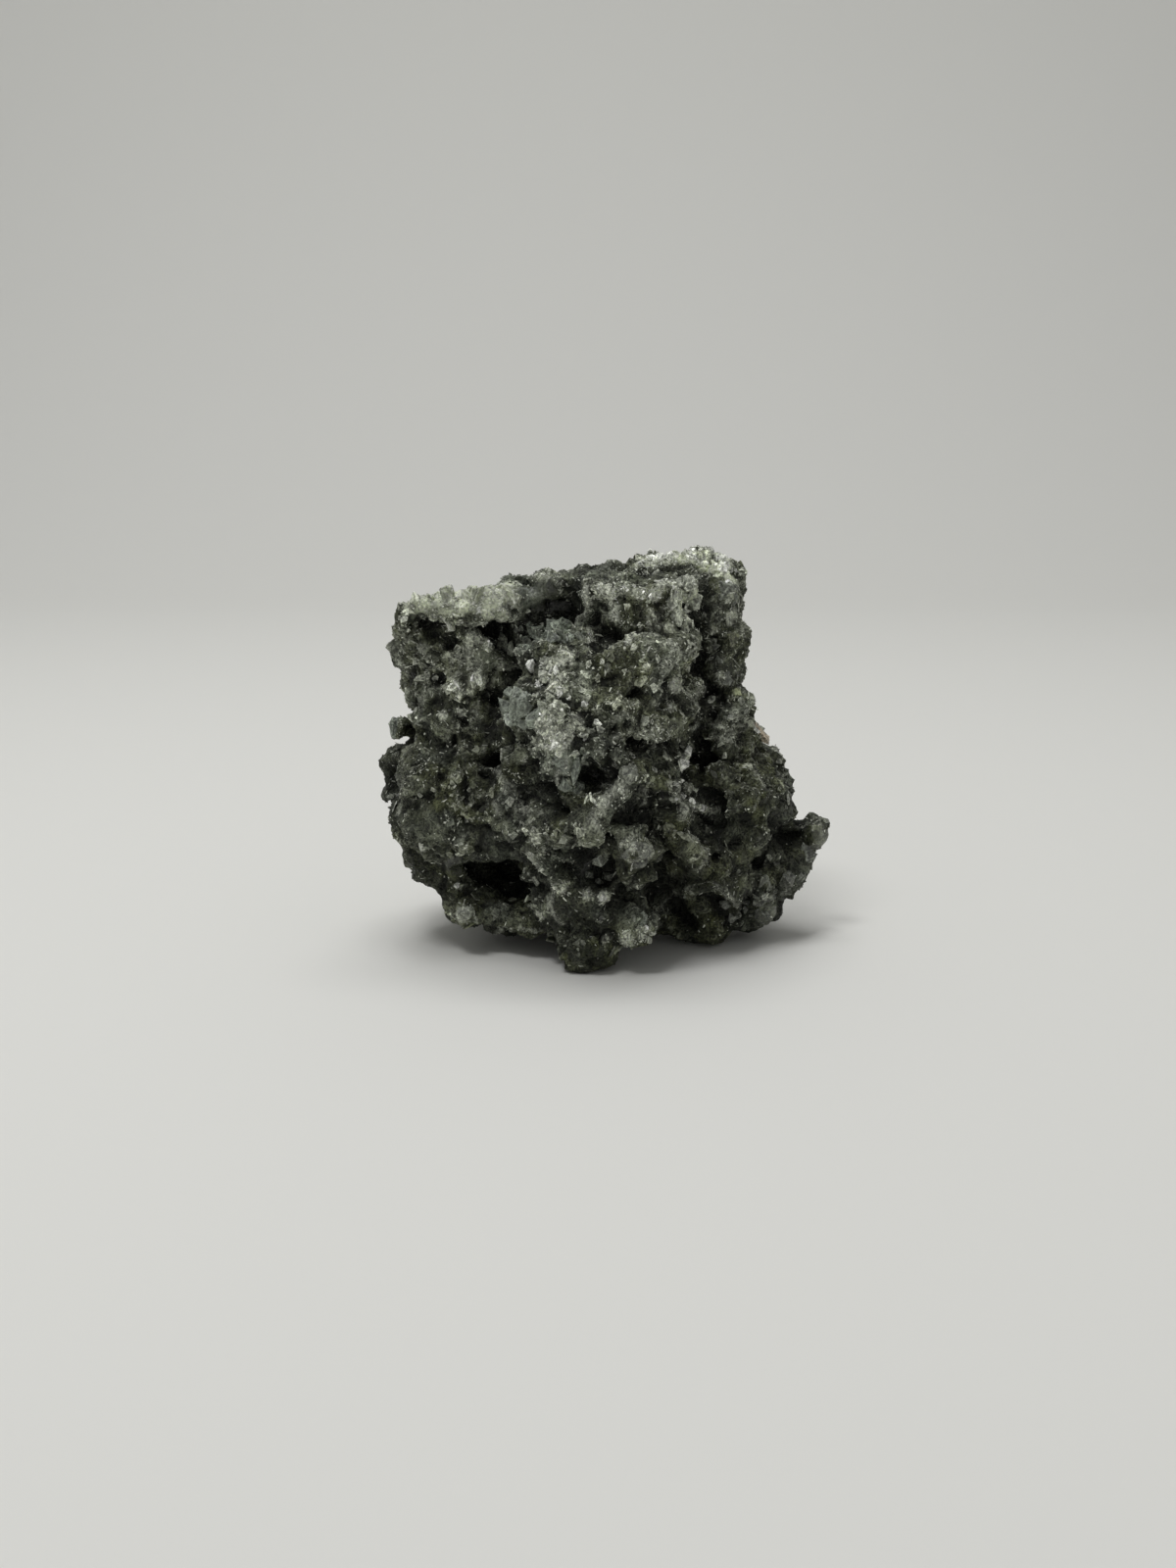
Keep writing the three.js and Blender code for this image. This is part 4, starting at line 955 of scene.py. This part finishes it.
def crystal(rng, kind, half, tint):
    """One rough crystal with worn paler edges: its points in millimetres, triangles and colours."""
    corners = []
    for _ in range(CORNERS[kind]):
        way = random_way(rng)
        corners.append(np.sign(way) * np.abs(way) ** SQUARENESS[kind] * rng.uniform(0.82, 1.12))
    solid = hull(corners)
    faces = np.array([[tuple(v.co) for v in f.verts] for f in solid.faces])
    solid.free()
    steps = 9 if max(half) > 1.6 else 6 if max(half) > 0.8 else 4  # finer faces on larger crystals
    share = [(i, j, steps - i - j) for i in range(steps + 1) for j in range(steps + 1 - i)]
    share = np.array(share) / steps
    row = {(round(a * steps), round(b * steps)): n for n, (a, b, _) in enumerate(share)}
    small = []
    for i, j in row:
        if i + j < steps:
            small.append((row[i, j], row[i + 1, j], row[i, j + 1]))
        if i + j < steps - 1:
            small.append((row[i + 1, j], row[i + 1, j + 1], row[i, j + 1]))
    points = np.einsum("nk,fkc->fnc", share, faces).reshape(-1, 3)
    triangles = (np.array(small)[None] + (np.arange(len(faces)) * len(share))[:, None, None]).reshape(-1, 3)
    on_edge = np.tile(1 - blend_in(share.min(1), 0.0, 0.9 / steps), len(faces))
    face_tone = np.repeat(rng.uniform(0.55, 1.35, len(faces)), len(share))
    _, first, same = np.unique(np.round(points, 4), axis=0, return_index=True, return_inverse=True)
    points, on_edge, face_tone = points[first], on_edge[first], face_tone[first]
    triangles = same.ravel()[triangles]
    at = points * half + rng.uniform(-80, 80, 3)
    wide = max(half)
    coarse, coarse_tone = leaning_plates(at, 0.6 * wide, 900, 1.0)
    grit, grit_tone = leaning_plates(at, 0.3, 920, 0.8)
    worn = rough_noise(at, 0.5 * wide, 930)
    points = points * (1 + 0.06 * coarse + 0.05 * worn + 0.025 * grit)[:, None] * half
    colour = tint[None] * (face_tone * (0.6 + 0.35 * coarse_tone + 0.35 * grit_tone))[:, None]
    pale = np.minimum(tint * 1.9 + 0.06, 0.85)
    paleness = 0.75 * on_edge * blend_in(worn, -0.5, 0.3) * (0.4 + 0.6 * grit_tone)
    return points, triangles, tinted(colour, pale, paleness)


def crystal_group(name, seed, entries, material):
    """One mesh of crystals. Each stands at a pixel: u, v, kind, half width, height and depth in
    millimetres, turn in the picture and lean to the side in degrees, tint, how far it stands out."""
    rng = np.random.default_rng(seed)
    points, triangles, colours, start = [], [], [], 0
    for u, v, kind, half, turn, lean, tint, out in entries:
        place, _ = spot(skin_tree, u, v)
        shape, corners, colour = crystal(rng, kind, np.array(half, float), tint)
        c, n = math.cos(math.radians(turn)), math.sin(math.radians(turn))
        across, rise = c * sight_right + n * sight_up, c * sight_up - n * sight_right
        c, n = math.cos(math.radians(lean)), math.sin(math.radians(lean))
        across, toward = c * across + n * sight_forward, -c * sight_forward + n * across
        world = place - sight_forward * out + shape @ np.stack([across, rise, toward])
        world[:, 2] = np.maximum(world[:, 2], 0.02)
        points.append(world)
        triangles.append(corners + start)
        colours.append(colour)
        start += len(shape)
    made = mesh_from(name, np.concatenate(points), np.concatenate(triangles), np.concatenate(colours))
    grown(made, material)


def along_path(rng, path, count, spread, kinds, half, tints, out):
    """Entries for crystals strewn along a path of pixels, with random turns and sizes."""
    path = np.array(path, float)
    entries = []
    for n in range(count):
        at = (n + rng.random()) / count * (len(path) - 1)
        leg = min(int(at), len(path) - 2)
        u, v = path[leg] + (path[leg + 1] - path[leg]) * (at - leg) + rng.normal(0, spread, 2)
        size = rng.uniform(*half) * rng.uniform(0.7, 1.3, 3)
        kind = kinds[rng.integers(len(kinds))]
        if kind == "plate":
            size[2] *= 0.3
        tint = tints[rng.integers(len(tints))] * rng.uniform(0.75, 1.15)
        entries.append((u, v, kind, size, rng.uniform(-60, 60), rng.uniform(-55, 55), tint, out))
    return entries


glass = stone_finish("prehnite_glass", (0.12, 0.35), 0.6, 0.22, 0.2, 0.5)
translucent(glass, 0.3, (1.0, 1.1, 0.8), 1.5 * MM)
cloudy = stone_finish("prehnite_cloudy", (0.22, 0.5), 0.5, 0.1, 0.3, 0.8)

rng = np.random.default_rng(21)
rim_path = [(418, 615), (440, 611), (470, 610), (500, 608), (524, 608)]
rim_low = [(420, 624), (445, 628), (470, 632), (495, 624), (515, 616)]
crystal_group(
    "rim_glass", 22,
    along_path(rng, rim_path, 22, 3, ("block", "knob"), (1.0, 2.0), (CLEAR, CLEAR * 0.85), -1.1)
    + along_path(rng, rim_low, 26, 4, ("block", "plate"), (0.4, 1.0), (CLOUD, CLEAR * 0.7), -0.4),
    glass,
)
crest_path = [(652, 574), (672, 567), (700, 563), (722, 567), (734, 573), (744, 588)]
fringe_path = [(606, 600), (640, 606), (675, 603)]
crystal_group(
    "crest_crust", 23,
    along_path(
        rng, crest_path, 80, 4.5, ("block", "plate", "block"), (0.4, 0.95),
        (SNOW * 1.08, SNOW * 1.05, CLEAR * 1.3), -0.4,
    )
    + along_path(rng, fringe_path, 18, 5, ("plate",), (0.25, 0.6), (SNOW, CLOUD), -0.1),
    cloudy,
)
crystal_group(
    "standing_plates", 24,
    [
        (703, 597, "block", (1.4, 2.0, 1.0), 14, 12, CLOUD * 0.85, -0.4),
        (709, 610, "block", (1.2, 2.2, 1.0), -8, 20, CLOUD * 0.6, -0.4),
        (684, 614, "plate", (1.3, 2.3, 0.7), -10, 28, CLOUD, -0.1),
        (690, 628, "plate", (1.1, 2.0, 0.6), 8, 24, CLOUD * 0.75, 0.0),
        (517, 664, "block", (0.8, 3.2, 0.7), 7, 0, CLOUD * 0.45, 0.1),
        (521, 668, "block", (0.6, 2.4, 0.6), 2, 0, CLOUD * 0.6, 0.2),
        (467, 701, "plate", (0.3, 1.4, 0.2), 32, 0, SNOW * 0.9, 0.3),
        (489, 693, "plate", (0.7, 1.1, 0.4), 20, 10, CLOUD, 0.2),
        (700, 768, "plate", (1.0, 1.6, 0.5), -24, 30, SNOW * 0.55, 0.2),
        (697, 779, "plate", (1.1, 1.3, 0.5), 10, 35, SNOW * 0.7, 0.2),
        (603, 814, "rod", (0.28, 1.0, 0.28), 10, 0, CLOUD, 0.5),
        (598, 816, "rod", (0.25, 0.8, 0.25), -20, 0, CLOUD * 0.8, 0.5),
        (607, 818, "rod", (0.22, 0.8, 0.22), 30, 0, CLOUD, 0.5),
        (776, 748, "plate", (3.0, 0.7, 0.8), -48, 10, ROSE, 0.0),
        (770, 742, "plate", (1.6, 0.6, 0.7), -42, 0, SNOW * 0.7, 0.2),
    ],
    cloudy,
)
crystal_group(
    "blue_green_crystals", 25,
    [
        (519, 712, "block", (1.3, 1.6, 0.9), 30, -25, SEA * 1.1, 0.0),
        (517, 724, "plate", (1.5, 2.0, 0.7), 12, -30, SEA * 0.8, 0.1),
        (527, 718, "plate", (1.6, 2.7, 0.7), -4, -8, SEA * 1.05, 0.4),
        (535, 722, "plate", (1.4, 2.6, 0.7), -18, 18, SEA * 0.85, 0.3),
        (524, 733, "plate", (1.5, 1.5, 0.7), 10, 0, SEA, 0.3),
        (534, 736, "block", (1.2, 1.3, 0.8), -30, 10, SEA * 0.75, 0.1),
        (545, 729, "plate", (1.2, 2.1, 0.8), -20, 15, SEA * 0.9, 0.1),
        (553, 716, "block", (1.0, 1.5, 0.8), -10, 25, CLOUD * 0.7, 0.0),
        (403, 743, "block", (1.0, 2.0, 1.1), 6, 10, SEA, -0.5),
        (612, 878, "block", (1.4, 1.0, 1.0), 20, 20, STEEL * 1.2, -0.2),
        (600, 892, "block", (1.1, 0.9, 0.9), -15, -20, STEEL, -0.2),
        (622, 895, "block", (1.2, 1.1, 0.9), 10, 30, STEEL * 0.9, -0.3),
        (610, 900, "block", (0.9, 0.7, 0.8), -30, 0, STEEL * 1.3, 0.0),
        (574, 776, "block", (1.3, 3.0, 1.2), -8, -20, SEA * 1.1, -0.3),
        (584, 784, "block", (1.3, 3.2, 1.2), -14, 15, SEA * 0.8, -0.3),
        (578, 800, "block", (1.1, 1.9, 1.1), 0, 0, SEA * 0.75, -0.2),
        (590, 804, "knob", (1.2, 1.4, 1.0), 0, 0, SEA * 0.6, -0.3),
        (652, 940, "block", (1.7, 1.4, 1.2), 30, 20, SEA * 0.7, -0.5),
    ]
    + along_path(
        rng, [(530, 655), (550, 642), (572, 640), (588, 658)], 30, 6, ("plate", "block", "plate"), (0.5, 1.5),
        (SEA * 0.9, SEA * 1.1, STEEL * 1.3), -0.2,
    ),
    cloudy,
)
crystal_group(
    "pale_knobs", 26,
    [
        (642, 789, "knob", (1.6, 1.7, 1.1), 20, 10, CLOUD * 0.33, 0.0),
        (640, 868, "block", (1.5, 1.3, 1.1), 30, -20, CLOUD * 0.22, -0.6),
        (655, 866, "plate", (1.6, 1.5, 1.0), -15, 20, CLOUD * 0.27, -0.5),
        (650, 879, "block", (1.7, 1.2, 1.1), 5, 0, CLOUD * 0.2, -0.6),
        (475, 931, "knob", (1.4, 1.3, 1.1), 0, 0, CLOUD * 0.6, 0.0),
        (466, 904, "block", (0.6, 0.6, 0.5), 20, 20, SNOW, 0.2),
        (655, 735, "plate", (1.6, 1.4, 0.9), 10, 10, CLOUD * 0.5, -0.2),
        (743, 603, "block", (1.6, 2.2, 1.3), 10, -20, STEEL * 1.4, -0.9),
        (733, 680, "block", (1.5, 1.8, 1.2), 20, -15, STEEL * 1.3, -0.8),
        (740, 690, "block", (1.6, 1.6, 1.2), -30, 10, STEEL * 1.1, -0.8),
        (748, 652, "knob", (1.7, 1.8, 1.3), 0, 0, MOSS, -0.8),
        (615, 916, "block", (0.7, 0.6, 0.5), 20, 0, SNOW * 0.6, -0.1),
        (829, 869, "block", (1.6, 1.7, 1.2), -30, 0, STEEL * 0.8, -0.5),
    ]
    + along_path(
        rng, [(555, 668), (566, 700), (588, 728), (574, 752), (590, 776)], 46, 10,
        ("plate", "block", "plate"), (0.4, 1.1), (SNOW, CLOUD, CLOUD), -0.1,
    )
    + along_path(
        rng, [(692, 800), (702, 815), (714, 826)], 11, 4, ("plate", "rod"), (0.3, 0.8), (SNOW, CLOUD), 0.1
    )
    + along_path(
        rng, [(755, 935), (785, 915), (808, 895)], 30, 8, ("block", "plate"), (0.6, 1.4),
        (CLOUD * 0.35, CLOUD * 0.24, STEEL * 0.9), -0.4,
    )
    + along_path(rng, [(640, 955), (670, 950)], 9, 3, ("block", "plate"), (0.4, 0.9), (CLOUD * 0.6,), -0.1),
    cloudy,
)


# The plain pale sheet that the stone stands on. It is paper, bent up behind the stone without a
# corner, and it reaches past the camera's view on all sides.
SHEET_HALF_WIDTH = 1500
SHEET_FRONT, SHEET_BEND, SHEET_RADIUS, SHEET_TOP = -1200, 480, 300, 1600
bend_steps = 24
profile = [(SHEET_FRONT, 0.0), (SHEET_BEND, 0.0)]
for step in range(1, bend_steps + 1):
    angle = math.pi / 2 * step / bend_steps
    profile.append((SHEET_BEND + SHEET_RADIUS * math.sin(angle), SHEET_RADIUS * (1 - math.cos(angle))))
profile.append((SHEET_BEND + SHEET_RADIUS, SHEET_TOP))
sheet_points = np.array([(side * SHEET_HALF_WIDTH, y, z) for y, z in profile for side in (-1, 1)], float)
sheet_quads = np.array([(2 * n, 2 * n + 1, 2 * n + 3, 2 * n + 2) for n in range(len(profile) - 1)])
backdrop = mesh_from("backdrop", sheet_points, sheet_quads, soft=True)
paper = bpy.data.materials.new("pale_paper")
paper.use_nodes = True
paper_shader = paper.node_tree.nodes["Principled BSDF"]
paper_shader.inputs["Base Color"].default_value = (0.80, 0.80, 0.77, 1)
paper_shader.inputs["Roughness"].default_value = 0.85
paper_shader.inputs["Specular IOR Level"].default_value = 0.15
backdrop.data.materials.append(paper)


# Soft light from a wide panel overhead, a smaller one from the front left, one for the sheet
# behind the stone, and weak light from all round. Lengths are in metres here, powers in watts.
def light_panel(name, place, aim, size, power):
    lamp = bpy.data.lights.new(name, "AREA")
    lamp.shape = "RECTANGLE"
    lamp.size, lamp.size_y = size
    lamp.energy = power
    made = bpy.data.objects.new(name, lamp)
    made.location = place
    made.rotation_euler = (Vector(aim) - Vector(place)).to_track_quat("-Z", "Y").to_euler()
    bpy.context.collection.objects.link(made)


light_panel("overhead_panel", (-0.06, 0.08, 0.78), (-0.02, 0.06, 0), (0.5, 0.4), 2.0)
light_panel("key_panel", (-0.20, -0.25, 0.69), (0, 0, 0.03), (0.20, 0.16), 1.3)
light_panel("wall_panel", (0, 0.30, 1.3), (0, 0.85, 0.22), (0.9, 0.3), 1.9)
world = bpy.data.worlds.new("room_light")
world.use_nodes = True
world.node_tree.nodes["Background"].inputs["Color"].default_value = (1.0, 1.0, 0.985, 1)
world.node_tree.nodes["Background"].inputs["Strength"].default_value = 0.24
bpy.context.scene.world = world
bpy.context.scene.view_settings.view_transform = "Standard"
